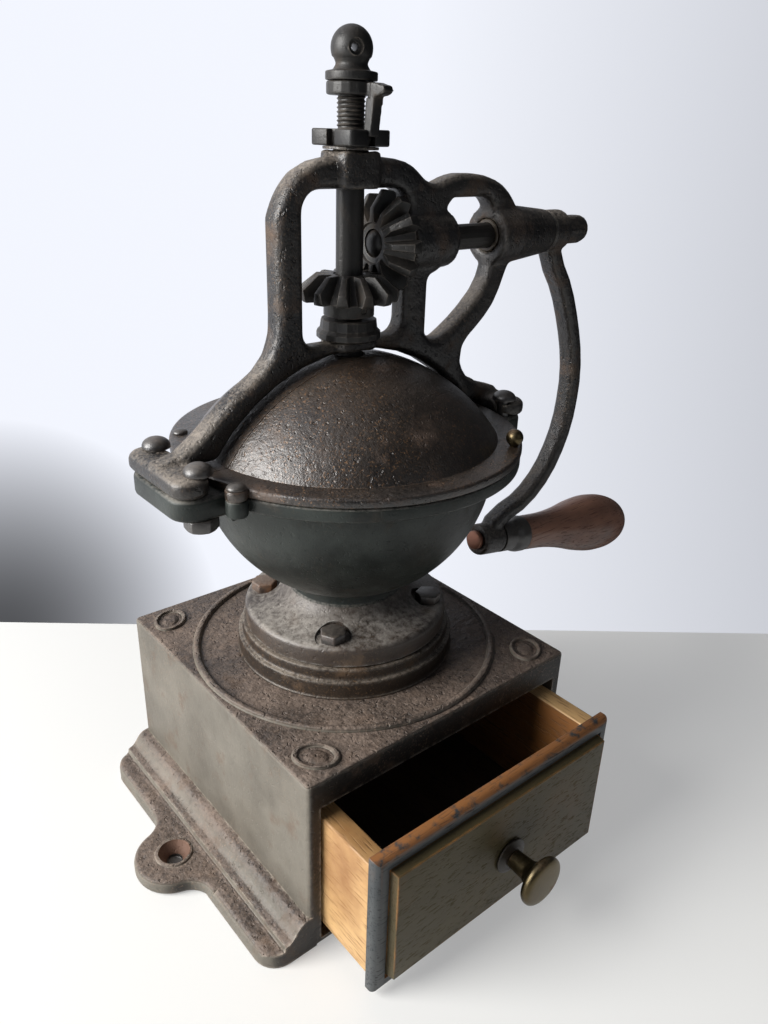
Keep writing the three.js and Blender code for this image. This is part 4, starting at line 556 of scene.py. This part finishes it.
def arc(middle_r, middle_z, radius, start, end, parts):
    turns = [math.radians(start + (end - start) * n / parts) for n in range(parts + 1)]
    return [(middle_r + radius * math.cos(t), middle_z + radius * math.sin(t)) for t in turns]


def flowing(points, parts=4):
    line = [Vector(p) for p in points]
    result = [points[0]]
    for i in range(len(line) - 1):
        a, b = line[max(i - 1, 0)], line[i]
        c, d = line[i + 1], line[min(i + 2, len(line) - 1)]
        for step in range(1, parts + 1):
            t = step / parts
            point = 0.5 * (2 * b + (c - a) * t + (2 * a - 5 * b + 4 * c - d) * t ** 2
                           + (3 * b - a - 3 * c + d) * t ** 3)
            result.append((max(point.x, 0.0), point.y))
    return result


def turned(name, profile, steps=64, at=(0, 0, 0), axis=UP, closed=False):
    clear_selection()
    bpy.ops.mesh.primitive_plane_add(size=MM, location=(0, 0, 0))
    piece = bpy.context.object
    piece.name = name
    edit(piece)
    bpy.ops.mesh.merge(type="CENTER")
    bpy.ops.transform.translate(value=(profile[0][0] * MM, 0, profile[0][1] * MM))
    line = list(profile) + ([profile[0]] if closed else [])
    for (ra, za), (rb, zb) in zip(line, line[1:]):
        bpy.ops.mesh.extrude_vertices_move(TRANSFORM_OT_translate={"value": ((rb - ra) * MM, 0, (zb - za) * MM)})
    bpy.ops.mesh.select_all(action="SELECT")
    bpy.ops.mesh.remove_doubles(threshold=1e-7)
    bpy.ops.mesh.spin(steps=steps, angle=2 * math.pi, center=(0, 0, 0), axis=(0, 0, 1))
    bpy.ops.mesh.select_all(action="SELECT")
    bpy.ops.mesh.remove_doubles(threshold=2e-6)
    bpy.ops.mesh.normals_make_consistent(inside=False)
    done()
    piece.rotation_mode = "QUATERNION"
    piece.rotation_quaternion = UP.rotation_difference(Vector(axis))
    piece.location = Vector(at) * MM
    bpy.ops.object.transform_apply(location=True, rotation=True, scale=True)
    return piece


def drawn(name, corners, low, high):
    clear_selection()
    bpy.ops.mesh.primitive_plane_add(size=MM, location=(0, 0, 0))
    piece = bpy.context.object
    piece.name = name
    edit(piece)
    bpy.ops.mesh.merge(type="CENTER")
    bpy.ops.transform.translate(value=(corners[0][0] * MM, corners[0][1] * MM, low * MM))
    for (xa, ya), (xb, yb) in zip(corners, corners[1:] + corners[:1]):
        bpy.ops.mesh.extrude_vertices_move(TRANSFORM_OT_translate={"value": ((xb - xa) * MM, (yb - ya) * MM, 0)})
    bpy.ops.mesh.select_all(action="SELECT")
    bpy.ops.mesh.remove_doubles(threshold=1e-7)
    bpy.ops.mesh.edge_face_add()
    bpy.ops.mesh.extrude_region_move(TRANSFORM_OT_translate={"value": (0, 0, (high - low) * MM)})
    bpy.ops.mesh.select_all(action="SELECT")
    bpy.ops.mesh.normals_make_consistent(inside=False)
    done()
    return piece


def round_corners(left, right, low, high, radius, parts=7):
    middles = ((right - radius, high - radius, 0), (left + radius, high - radius, 90),
               (left + radius, low + radius, 180), (right - radius, low + radius, 270))
    return [point for x, y, start in middles for point in arc(x, y, radius, start, start + 90, parts)]


def turn_about(piece, degrees, axis):
    pick(piece)
    piece.rotation_euler = [math.radians(degrees) if axis == letter else 0 for letter in "XYZ"]
    bpy.ops.object.transform_apply(location=True, rotation=True, scale=True)


def flipped(piece):
    pick(piece)
    piece.scale.x = -1
    bpy.ops.object.transform_apply(location=True, rotation=True, scale=True)
    edit(piece)
    bpy.ops.mesh.normals_make_consistent(inside=False)
    done()
    return piece


def twin(piece, name):
    other = bpy.data.objects.new(name, piece.data.copy())
    bpy.context.scene.collection.objects.link(other)
    return other


def modify(piece, kind, **values):
    pick(piece)
    modifier = piece.modifiers.new(kind.lower(), kind)
    for key, value in values.items():
        setattr(modifier, key, value)
    bpy.ops.object.modifier_apply(modifier=modifier.name)


def combine(piece, other, operation):
    modify(piece, "BOOLEAN", operation=operation, object=other, solver="EXACT")
    bpy.data.objects.remove(other)


def smooth(piece, degrees=35):
    pick(piece)
    bpy.ops.object.shade_smooth_by_angle(angle=math.radians(degrees))


def wear(piece, material, body, slot, *nodes):
    piece.data.materials.clear()
    piece.data.materials.append(material)
    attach(piece, body)
    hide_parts(*nodes)
    print(piece.name, len(piece.data.polygons), "faces")
    return piece


# %% [markdown]
# ## Copies of castings
# The frame, arm, gears and nuts keep the CAD shape. A copy is merged, because a CAD mesh is loose
# triangles, and then gets its edges eased. A real casting has no sharp edge anywhere, so the frame
# and the arm are remeshed in small even faces and smoothed, which rounds every edge and corner.

# %% Helpers for copies
def copied(node, name):
    piece = bpy.data.objects.new(name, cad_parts[node].data.copy())
    bpy.context.scene.collection.objects.link(piece)
    edit(piece)
    bpy.ops.mesh.remove_doubles(threshold=5e-6)
    done()
    return piece


def eased(node, name, width, degrees=32, flat=0.6, segments=2):
    piece = copied(node, name)
    edit(piece)
    bpy.ops.mesh.dissolve_limited(angle_limit=math.radians(flat))
    done()
    modify(piece, "BEVEL", width=width, segments=segments, limit_method="ANGLE",
           angle_limit=math.radians(degrees), use_clamp_overlap=True, harden_normals=False)
    smooth(piece, 40)
    return piece


def cast(node, name, voxel, passes):
    piece = copied(node, name)
    modify(piece, "REMESH", mode="VOXEL", voxel_size=voxel)
    modify(piece, "SMOOTH", factor=0.5, iterations=passes)
    pick(piece)
    bpy.ops.object.shade_smooth()
    return piece


# %% [markdown]
# ## Base
# The base is a hollow iron box with a moulded foot along both sides and a lug for a wood screw on
# each. Its top carries a round bead, four small oval medallions and a pad for the neck. In the
# medallions a plain raised button fills the place of a figure.

# %% Base
FOOT_SHARES = [(1, 0.226), (0.944, 0.329), (0.833, 0.391), (0.63, 0.412), (0.574, 0.473), (0.556, 0.556),
               (0.444, 0.597), (0.352, 0.7), (0.259, 0.844), (0.148, 0.947), (0.02, 0.985)]
base = drawn("cast_base", round_corners(-100, 100, -101, 101, 3.2), 0, 117)
modify(base, "BEVEL", width=0.0018, segments=3, limit_method="ANGLE", angle_limit=math.radians(50))
foot_line = [(95, 0), (127, 0)] + flowing([(100 + x * 27, z * 24.3) for x, z in FOOT_SHARES], 3) + [(95, 24)]
foot = drawn("foot", foot_line, -101, 101)
turn_about(foot, 90, "X")
combine(foot, drawn("plan", round_corners(-127, 127, -101, 101, 14), -1, 60), "INTERSECT")
FILLET = 15
fillet_y = math.sqrt((24 + FILLET) ** 2 - (FILLET - 4) ** 2)
turn_out = 90 + math.degrees(math.asin((FILLET - 4) / (24 + FILLET)))
lug_edge = [(107, -fillet_y - 4), (127, -fillet_y - 4)] + arc(127 + FILLET, -fillet_y, FILLET, 180, turn_out, 8)
lug_edge += arc(131, 0, 24, turn_out - 180, 180 - turn_out, 28)[1:-1]
lug_edge += [(x, -y) for x, y in reversed(lug_edge[1:11])]
lug = drawn("screw_lug", lug_edge + [(107, fillet_y + 4)], 0, 9.5)
modify(lug, "BEVEL", width=0.0026, segments=3, limit_method="ANGLE", angle_limit=math.radians(50))
combine(foot, lug, "UNION")
combine(foot, turned("boss", softened([(0, 5), (12.4, 5), (12.4, 8.8), (11.0, 10.4), (0, 10.4)], 0.9), 48, (131, 0, 0)),
        "UNION")
seat_line = softened([(0, 1.2), (4.6, 1.2), (4.6, 3.0), (6.6, 6.5), (9.4, 9.8), (9.8, 11.5), (0, 11.5)], 0.8)
combine(foot, turned("seat", seat_line, 48, (131, 0, 0)), "DIFFERENCE")
other_foot = flipped(twin(foot, "other_foot"))
combine(base, foot, "UNION")
combine(base, other_foot, "UNION")


def block(low, high):
    clear_selection()
    middle = [(a + b) / 2 * MM for a, b in zip(low, high)]
    bpy.ops.mesh.primitive_cube_add(size=1, location=middle, scale=[(b - a) * MM for a, b in zip(low, high)])
    piece = bpy.context.object
    bpy.ops.object.transform_apply(location=True, rotation=True, scale=True)
    return piece


combine(base, block((-92, -110, 4), (92, 93, 100)), "DIFFERENCE")
for side in (-1, 1):
    ends = sorted((side * 79, side * 96))
    combine(base, block((ends[0], -88.2, 2), (ends[1], 97, 13.7)), "UNION")
clear_selection()
bpy.ops.mesh.primitive_cylinder_add(vertices=48, radius=0.0346, depth=0.03, location=(0, 0, 0.11))
combine(base, bpy.context.object, "DIFFERENCE")
smooth(base, 34)
wear(base, base_iron, "body", "base_iron", "base_casting")
base.data.materials.append(rust_seat)
base.data.materials.append(bolt_iron)
spots = [math.hypot(abs(v.co.x) - 0.131, v.co.y) < 0.0101 and 0.001 < v.co.z < 0.0106 for v in base.data.vertices]
for polygon in base.data.polygons:
    polygon.material_index = 1 if all(spots[i] for i in polygon.vertices) else 0
    from_lug = math.hypot(abs(polygon.center.x) - 0.131, polygon.center.y)
    if from_lug < 0.0049 and 0.001 < polygon.center.z < 0.0034:
        polygon.material_index = 2

# %% [markdown]
# ## What stands on the base top
# The bead, the round pad with its two steps and the four medallions are turned. A medallion is an
# oval ring with a plain low button in it: it is turned round, then scaled to an oval.

# %% Bead, pad and medallions
bead = turned("top_bead", [(95 + 2.7 * math.cos(t), 116.7 + 2.5 * math.sin(t))
                           for t in (math.radians(180 - 15 * n) for n in range(13))] + [(97, 115.5), (93, 115.5)],
              160, closed=True)
smooth(bead, 40)
pad = turned("neck_pad", [(34.6, 112)] + softened([
    (34.6, 112), (69.2, 112), (69.2, 117.6), (68.4, 118.6), (68.4, 128), (66.2, 128.3), (65.6, 129.4), (65.6, 135.4),
    (58, 135.4), (58, 137), (34.6, 137)], 1.1)[1:-1] + [(34.6, 137)], 128, closed=True)
smooth(pad, 38)
for piece, finish in ((bead, base_iron), (pad, pad_iron)):
    piece.data.materials.append(finish)
    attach(piece, "body")
medal = turned("medallion", softened([
    (0, 118.3), (3.4, 118.1), (5.4, 117.3), (6.0, 116.9), (7.6, 116.9), (8.3, 118.0), (9.1, 118.6), (10.1, 118.6),
    (10.9, 118.0), (11.3, 116.0), (0, 116.0)], 0.5), 56)
smooth(medal, 40)
for number, (x, y) in enumerate(((1, 1), (-1, 1), (-1, -1), (1, -1)), 1):
    piece = twin(medal, f"medallion_{number}")
    pick(piece)
    piece.scale = (1.2, 0.92, 1)
    bpy.ops.object.transform_apply(location=True, rotation=True, scale=True)
    turn_about(piece, -45 * x * y, "Z")
    piece.location = (x * 0.0825, y * 0.0835, 0)
    bpy.ops.object.transform_apply(location=True, rotation=True, scale=True)
    piece.data.materials.append(base_iron)
    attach(piece, "body")
bpy.data.objects.remove(medal)
print("bead, pad and 4 medallions")

# %% [markdown]
# ## Bowl
# The hopper is one casting from neck flange to rim. Its outline is turned in many steps, and two
# ears with round corners are joined on to carry the frame's feet.

# %% Bowl
def bowl_outline():
    outer = arc(0, 245.7, 86.6, -66.4, 0, 30)
    inner = arc(0, 245.7, 82.6, 5.3, -69.4, 30)
    flange = [(29, 137.3), (57, 137.3), (57, 135.8), (62.8, 135.8), (63.5, 136.5)] + arc(60, 145, 3.5, 0, 78, 7)
    flare = flowing([(60.7, 148.4), (54, 149.2), (47, 151.0), (41, 154.2), (37.0, 158.4)], 4)[1:]
    rim = softened([outer[-1], (86.8, 246), (101, 246), (101, 253.3), (83, 253.3)], 1.6)[1:-1]
    return flange + flare + [(36.0, 159.6), (34.9, 160.6), (34.5, 164), (35.6, 168.5)] + outer[3:] + rim + inner


bowl = turned("iron_bowl", bowl_outline(), 128, closed=True)
ear_line = [(60, -30.5)] + arc(110.5, -17.5, 13, -90, 0, 9) + arc(110.5, 17.5, 13, 0, 90, 9) + [(60, 30.5)]
ear = drawn("bowl_ear", ear_line, 241.6, 253.3)
edit(ear)
bpy.ops.mesh.select_all(action="DESELECT")
mesh = bmesh.from_edit_mesh(ear.data)
for side in mesh.faces:
    side.select_set(side.normal.z < -0.9)
bmesh.update_edit_mesh(ear.data)
bpy.ops.transform.resize(value=(0.93, 0.86, 1), center_override=(0.06, 0, 0.2416))
done()
modify(ear, "BEVEL", width=0.0022, segments=3, limit_method="ANGLE", angle_limit=math.radians(50))
web = drawn("ear_web", [(84, 243), (84, 229.5), (86.5, 229.5), (92, 236), (99, 240.5), (106, 243)], -15, 15)
turn_about(web, 90, "X")
combine(ear, web, "UNION")
clear_selection()
bpy.ops.mesh.primitive_cylinder_add(vertices=96, radius=0.0824, depth=0.06, location=(0, 0, 0.245))
combine(ear, bpy.context.object, "DIFFERENCE")
other_ear = flipped(twin(ear, "other_ear"))
combine(bowl, ear, "UNION")
combine(bowl, other_ear, "UNION")
clear_selection()
bpy.ops.mesh.primitive_cylinder_add(vertices=40, radius=0.0056, depth=0.0087, location=(-0.097, -0.0385, 0.24895))
lug = bpy.context.object
modify(lug, "BEVEL", width=0.001, segments=2, limit_method="ANGLE", angle_limit=math.radians(50))
combine(bowl, lug, "UNION")
for x, y in ((1, 1), (-1, 1), (-1, -1), (1, -1)):
    clear_selection()
    bpy.ops.mesh.primitive_cylinder_add(
        vertices=48, radius=0.0108, depth=0.0178, location=(x * 0.0372, y * 0.0372, 0.1571))
    combine(bowl, bpy.context.object, "DIFFERENCE")
smooth(bowl, 32)
wear(bowl, bowl_iron, "body", "bowl_iron", "hopper_bowl")
bowl.data.materials.append(neck_iron)
for polygon in bowl.data.polygons:
    polygon.material_index = 1 if polygon.center.z < 0.1598 else 0

# %% [markdown]
# ## Frame
# The frame is a flat casting with round edges, one window for the gears and one for the crank shaft.

# %% Frame
arch = wear(cast("frame", "iron_frame", 0.0014, 5), frame_iron, "body", "frame_iron", "frame")

# %% [markdown]
# ## Lid and rear dome
# One half of the dome swings on a pin to fill the hopper and the other half is screwed down. Both
# are turned as a whole dome with its flat flange, then cut along the seam with bisect, which also
# closes the cut.

# %% Domes
def dome_outline():
    inner = arc(0, 197.7, 103.7, 90, 32.8, 40)
    outer = arc(0, 197.7, 106.7, 34.9, 90, 44)
    flange = softened([inner[-1], (101.5, 253.6), (101.5, 258.8), outer[0]], 1.8, 4)[1:-1]
    return inner + flange + outer


def half_dome(name, seam, keep_front):
    piece = turned(name, dome_outline(), 144)
    edit(piece)
    bpy.ops.mesh.bisect(plane_co=(0, seam * MM, 0), plane_no=(0, 1, 0), use_fill=True,
                        clear_outer=keep_front, clear_inner=not keep_front)
    bpy.ops.mesh.select_all(action="SELECT")
    bpy.ops.mesh.normals_make_consistent(inside=False)
    done()
    return piece


lid = half_dome("swing_lid", -13, True)
clear_selection()
bpy.ops.mesh.primitive_cylinder_add(vertices=48, radius=0.0056, depth=0.0052, location=(-0.097, -0.0385, 0.2562))
lug = bpy.context.object
modify(lug, "BEVEL", width=0.0008, segments=2, limit_method="ANGLE", angle_limit=math.radians(50))
combine(lid, lug, "UNION")
smooth(lid, 32)
wear(lid, lid_iron, "lid", "lid_iron", "lid")
rear = half_dome("fixed_dome", -12.55, False)
clear_selection()
bpy.ops.mesh.primitive_cylinder_add(vertices=48, radius=0.0096, depth=0.03, location=(0, 0, 0.302))
combine(rear, bpy.context.object, "DIFFERENCE")
smooth(rear, 32)
wear(rear, lid_iron, "body", "lid_iron", "rear_dome")

# %% [markdown]
# ## Crank arm and handle
# The arm is a forged bar that bows outwards, with a hub on the shaft and an eye for the handle's pin.
# The grip is a pear-shaped turning that spins on the pin.

# %% Crank and handle
TILT = math.radians(10)
GRIP_AXIS = Vector((math.cos(TILT), 0, -math.sin(TILT)))
PIN_HEAD = (115, 0, 151.8)
wear(cast("crank_arm", "forged_arm", 0.0009, 6), frame_iron, "crank", "frame_iron", "crank_arm")
ferrule = turned("grip_ferrule", softened([
    (4.5, 25.6), (11.6, 25.6), (11.6, 35), (11.0, 38.2), (12.9, 41.4), (13.5, 44.5), (13.5, 50.8), (4.5, 50.8),
], 0.9), 64, PIN_HEAD, GRIP_AXIS, closed=True)
smooth(ferrule, 32)
wear(ferrule, bolt_iron, "handle", "bolt_iron", "handle_ferrule")
GRIP_SHARES = [
    (0.02, 0.57), (0.2, 0.6), (0.36, 0.72), (0.5, 0.89), (0.62, 0.99), (0.7, 1), (0.79, 0.96), (0.88, 0.82),
    (0.95, 0.58), (0.985, 0.34), (1, 0.0)]
pear = flowing([(wide * 23, 51.1 + far * 128.7) for far, wide in GRIP_SHARES], 5)
grip = turned("turned_grip", [(4.5, 51.1), (12.4, 51.1), (13, 51.9)] + pear + [(0, 150.3), (4.5, 150.3)],
              96, PIN_HEAD, GRIP_AXIS, closed=True)
smooth(grip, 40)
wear(grip, grip_wood, "handle", "grip_wood", "handle_grip")
pin = turned("grip_pin", softened([
    (0, 0), (3.4, 0.1), (6.8, 0.5), (6.8, 4), (4.2, 4), (4.2, 150), (0, 150)], 0.9), 48, PIN_HEAD, GRIP_AXIS)
smooth(pin, 32)
wear(pin, copper_end, "crank", "copper_steel", "handle_pin")

# %% [markdown]
# ## Drawer
# Four boards and a bottom, with a thick front. The front's face stands up a little inside a wide
# bevel, as it would if the bevel were cut with a plane. The pull is a brass knob on a small round
# plate.

# %% Drawer
def board(name, low, high, edge):
    size = [b - a for a, b in zip(low, high)]
    middle = [(a + b) / 2 * MM for a, b in zip(low, high)]
    clear_selection()
    bpy.ops.mesh.primitive_cube_add(size=1, location=middle, scale=[s * MM for s in size])
    piece = bpy.context.object
    piece.name = name
    bpy.ops.object.transform_apply(location=True, rotation=True, scale=True)
    modify(piece, "BEVEL", width=edge * MM, segments=3, limit_method="ANGLE", angle_limit=math.radians(50))
    smooth(piece, 30)
    return piece


def choose_face(piece, choose):
    edit(piece)
    bpy.ops.mesh.select_mode(type="FACE")
    bpy.ops.mesh.select_all(action="DESELECT")
    mesh = bmesh.from_edit_mesh(piece.data)
    for side in mesh.faces:
        side.select_set(choose(side))
    bmesh.update_edit_mesh(piece.data)


clear_selection()
bpy.ops.mesh.primitive_cube_add(size=1, location=(0, -0.14315, 0.05125), scale=(0.1826, 0.0073, 0.0935))
panel = bpy.context.object
panel.name = "drawer_face"
bpy.ops.object.transform_apply(location=True, rotation=True, scale=True)
choose_face(panel, lambda side: side.normal.y < -0.9)
bpy.ops.mesh.bevel(offset=0.0042, segments=5)
choose_face(panel, lambda side: side.normal.y < -0.999)
bpy.ops.mesh.inset(thickness=0.0032, depth=0)
bpy.ops.mesh.inset(thickness=0.0008, depth=-0.0016)
bpy.ops.mesh.inset(thickness=0.0006, depth=0)
bpy.ops.mesh.extrude_region_move(TRANSFORM_OT_translate={"value": (0, -0.0064, 0)})
bpy.ops.transform.resize(value=((82.5 - 0.9) / 82.5, 1, (37.9 - 0.9) / 37.9), center_override=(0, -0.15, 0.05125))
bpy.ops.mesh.select_mode(type="VERT")
done()
modify(panel, "BEVEL", width=0.0007, segments=3, limit_method="ANGLE", angle_limit=math.radians(40))
smooth(panel, 30)
wear(panel, front_wood, "drawer", "front_wood", "drawer_front")
panel.data.materials.append(edge_wood)
for polygon in panel.data.polygons:
    middle = polygon.center
    in_field = abs(middle.x) < 0.0828 and abs(middle.z - 0.05125) < 0.0382
    polygon.material_index = 0 if in_field and middle.y < -0.1464 else 1
for name, low, high in (
        ("drawer_side_right", (78.5, -139.2, 14), (90.5, 39.8, 92)),
        ("drawer_side_left", (-90.5, -139.2, 14), (-78.5, 39.8, 92)),
        ("drawer_back", (-78.2, 27.8, 14), (78.2, 39.8, 86)),
        ("drawer_bottom", (-78.2, -139.2, 14), (78.2, 27.5, 19))):
    piece = wear(board(name.replace("drawer", "board"), low, high, 0.9), board_wood, "drawer", "drawer_wood", name)
    piece.data.materials.append(inner_wood_painted_shade)
    piece.data.materials.append(stained_wood)
    for polygon in piece.data.polygons:
        # Painted shade: the bottom, the back and the left board's inner faces take the near-black slot.
        inward = polygon.center.x * polygon.normal.x < -0.5 * abs(polygon.center.x) and polygon.center.x < 0
        polygon.material_index = 1 if inward or name in ("drawer_bottom", "drawer_back") else 0
        if polygon.center.x > 0 and polygon.normal.x < -0.5 and polygon.area > 0.001:
            polygon.material_index = 2
KNOB = (2.5, 0, 48)
plate = turned("knob_plate", softened([
    (2.3, 152.3), (11, 152.3), (11, 153.4), (8.8, 154.3), (7.2, 155.3), (2.3, 155.3)], 0.5), 48, KNOB, FRONT, closed=True)
smooth(plate, 32)
wear(plate, bronze, "drawer", "brass", "drawer_rosette")
KNOB_SHARES = [(0.0, 0.37), (0.32, 0.4), (0.5, 0.44), (0.66, 0.62), (0.74, 0.9), (0.8, 0.985), (0.86, 1),
               (0.93, 0.97), (0.98, 0.86), (1, 0.7)]
face = flowing([(wide * 14.8, 155.6 + far * 22.5) for far, wide in KNOB_SHARES], 4)
knob = turned("brass_pull", [(2.3, 155.6)] + face + [(0, 178.1), (0, 165.9), (2.3, 165.9)], 64, KNOB, FRONT, closed=True)
smooth(knob, 40)
wear(knob, brass, "drawer", "brass", "drawer_knob")

# %% [markdown]
# ## Spindle, thread and the pieces on top
# The spindle is a plain bar with a fine thread at its upper end, seen between the adjusting nut and
# the lock ring. The thread is a small three-sided section swept up in a screw around the bar.

# %% Spindle
shaft = turned("threaded_spindle", softened([
    (0, 97.2), (7.35, 97.2), (7.35, 415), (6.6, 416), (6.6, 440.0), (5.2, 440.5), (5.2, 449), (0, 449)], 0.8), 48)
smooth(shaft, 32)
PITCH, TURNS = 2.0, 10
clear_selection()
bpy.ops.mesh.primitive_circle_add(vertices=3, radius=MM, fill_type="NOTHING", location=(0, 0, 0))
thread = bpy.context.object
for vertex, (r, z) in zip(thread.data.vertices, ((6.4, 416.2), (7.35, 417.1), (6.4, 418.0))):
    vertex.co = (r * MM, 0, z * MM)
modify(thread, "SCREW", angle=2 * math.pi, screw_offset=PITCH * MM, iterations=TURNS, steps=32, render_steps=32,
       axis="Z", use_merge_vertices=False)
edit(thread)
bpy.ops.mesh.select_all(action="DESELECT")
bpy.ops.mesh.select_non_manifold()
bpy.ops.mesh.edge_face_add()
bpy.ops.mesh.select_all(action="SELECT")
bpy.ops.mesh.normals_make_consistent(inside=False)
done()
smooth(thread, 50)
thread.name = "spindle_thread"
wear(shaft, worn_steel, "spindle", "steel", "spindle")
thread.data.materials.append(worn_steel)
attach(thread, "spindle")

ball = turned("ball_head", softened([(7.65, 439.9), (13, 439.9), (13, 443.9), (8.5, 444.5)], 0.7)[:-1]
              + flowing([(9.4, 444.6), (8.3, 446.2), (8.0, 447.6), (8.9, 449.6)], 4)
              + arc(0, 454, 10.4, -20, 90, 20) + [(0, 449.3), (5.5, 449.3), (5.5, 440.8), (7.65, 439.95)], 64, closed=True)
clear_selection()
bpy.ops.mesh.primitive_cylinder_add(vertices=32, radius=0.0019, depth=0.03, location=(0, 0, 0.454))
bore = bpy.context.object
bore.rotation_euler = (math.radians(90), 0, math.radians(-25))
combine(ball, bore, "DIFFERENCE")
for side in (-1, 1):
    clear_selection()
    turn = math.radians(-25)
    spot = (side * math.sin(turn) * -0.0106, side * math.cos(turn) * 0.0106, 0.454)
    bpy.ops.mesh.primitive_cylinder_add(vertices=32, radius=0.0036, depth=0.006, location=spot)
    sink = bpy.context.object
    sink.rotation_euler = (math.radians(90), 0, turn)
    combine(ball, sink, "DIFFERENCE")
modify(ball, "BEVEL", width=0.0005, segments=2, limit_method="ANGLE", angle_limit=math.radians(40))
smooth(ball, 35)
wear(ball, worn_steel, "ball", "steel", "ball_nut")
ring = cast("lock_ring", "tailed_ring", 0.00055, 4)
low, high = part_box("lock_ring")
tail = [v for v in ring.data.vertices if math.hypot(v.co.x, v.co.y) > 0.0152 or v.co.z < high[2] - 0.0075]
out = Vector((sum(v.co.x for v in tail), sum(v.co.y for v in tail), 0)).normalized()
across = Vector((-out.y, out.x, 0))
for v in tail:
    v.co += across * v.co.dot(across) * 0.55
wear(ring, worn_steel, "lock", "frame_iron", "lock_ring")
low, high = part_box("thrust_washer")
washer = turned("wide_washer", softened([(7.8, low[2] / MM), (14.4, low[2] / MM), (14.4, high[2] / MM), (7.8, high[2] / MM)],
                                        0.3), 48, closed=True)
smooth(washer, 32)
wear(washer, frame_iron, "thrust", "steel", "thrust_washer")
low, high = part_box("crank_shaft")
dome = turned("shaft_dome", [(0, -3.6), (2.4, -3.4), (4.6, -2.5), (6.2, -1.2), (7.1, 0.4), (7.1, 1.6), (0, 1.6)], 40,
              (low[0] / MM, 0, (low[2] + high[2]) / 2 / MM), ALONG)
smooth(dome, 50)
dome.data.materials.append(worn_steel)
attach(dome, "crank")
wear(eased("adjusting_nut", "square_nut", 0.0008, 40), worn_steel, "adjuster", "frame_iron", "adjusting_nut")

# %% [markdown]
# ## Gears and fasteners
# The gears and nuts are copies with eased edges. The neck screws' hex heads are made afresh with eased edges, and round
# heads are turned afresh.

# %% Gears, bolts and small pieces
for node, name, body in (("spindle_gear", "lower_mitre_gear", "spindle"), ("crank_gear", "upper_mitre_gear", "crank")):
    wear(eased(node, name, 0.0007, 30), worn_steel, body, "steel", node)
NECK_PLACES, NECK_TURNS = ((1, 1), (-1, 1), (-1, -1), (1, -1)), (10, 4, 27, 48)
for number in range(1, 5):
    x, y = NECK_PLACES[number - 1]
    clear_selection()
    bpy.ops.mesh.primitive_cylinder_add(vertices=6, radius=0.0083, depth=0.0064, location=(0, 0, 0.1506),
                                        rotation=(0, 0, math.radians(NECK_TURNS[number - 1])))
    head = bpy.context.object
    head.name = f"neck_screw_{number}"
    head.location = (x * 0.0372, y * 0.0372, 0.1506)
    bpy.ops.object.transform_apply(location=True, rotation=True, scale=True)
    modify(head, "BEVEL", width=0.0009, segments=3, limit_method="ANGLE", angle_limit=math.radians(50))
    smooth(head, 40)
    wear(head, rusty_bolt if number == 2 else bolt_iron, "body", "bolt_iron", f"neck_bolt_{number}")
    wear(eased(f"ear_nut_{number}", f"foot_nut_{number}", 0.0005, 35), bolt_iron, "body", "bolt_iron",
         f"ear_nut_{number}")


def round_head(name, at, radius, head, height, bottom, seat, node, body="body"):
    outline = [(0, bottom), (radius, bottom), (radius, seat), (head, seat)]
    outline += [(head * math.cos(t), seat + height * (0.16 + 0.84 * math.sin(t)))
                for t in (math.radians(90 * n / 9) for n in range(10))]
    piece = turned(name, outline, 40, at)
    smooth(piece, 40)
    return wear(piece, bolt_iron, body, "bolt_iron", node)


for number, (x, y) in enumerate(((1, 1), (-1, 1), (-1, -1), (1, -1)), 1):
    round_head(f"foot_bolt_{number}", (x * 108.5, y * 22.7, 0), 4, 7.4, 5.6, 233.8, 264.3, f"ear_bolt_{number}")
for number, degrees in enumerate((31, 90, 149), 1):
    spot = (95.3 * math.cos(math.radians(degrees)), 95.3 * math.sin(math.radians(degrees)), 0)
    round_head(f"dome_screw_{number}", spot, 2.2, 4.2, 2.2, 246.3, 259.1, f"rear_dome_screw_{number}")
round_head("lid_pin", (-97, -38.5, 0), 3, 4.8, 2.4, 244.4, 259.1, "lid_pivot_pin")
spot = (96.8 * math.cos(math.radians(-52)), 96.8 * math.sin(math.radians(-52)), 0)
knob = turned("lid_ball", [(0, 253.6), (1.8, 253.6), (1.8, 259.1), (2.4, 259.1)] + arc(0, 264, 4.9, -54, 90, 16), 40, spot)
smooth(knob, 40)
wear(knob, brass, "lid", "brass", "lid_knob")

# %% [markdown]
# ## Nodes that stay
# The shafts, bushes, collar, pins and hidden grinding parts already have the right shape, so they
# only get their material.

# %% Materials on the CAD nodes that stay
STAYING = {
    worn_steel: ("crank_shaft", "spindle_collar", "inner_burr", "outer_burr", "burr_nut",
                 "spindle_gear_pin", "crank_gear_pin"),
    bolt_iron: ("auger", "drawer_knob_screw"),
    frame_iron: ("crank_end_nut",),
    bronze: ("crank_bush_inner", "crank_bush_outer", "spindle_bush_upper"),
}
for material, names in STAYING.items():
    for name in names:
        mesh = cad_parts[name].data
        mesh.materials.clear()
        mesh.materials.append(material)
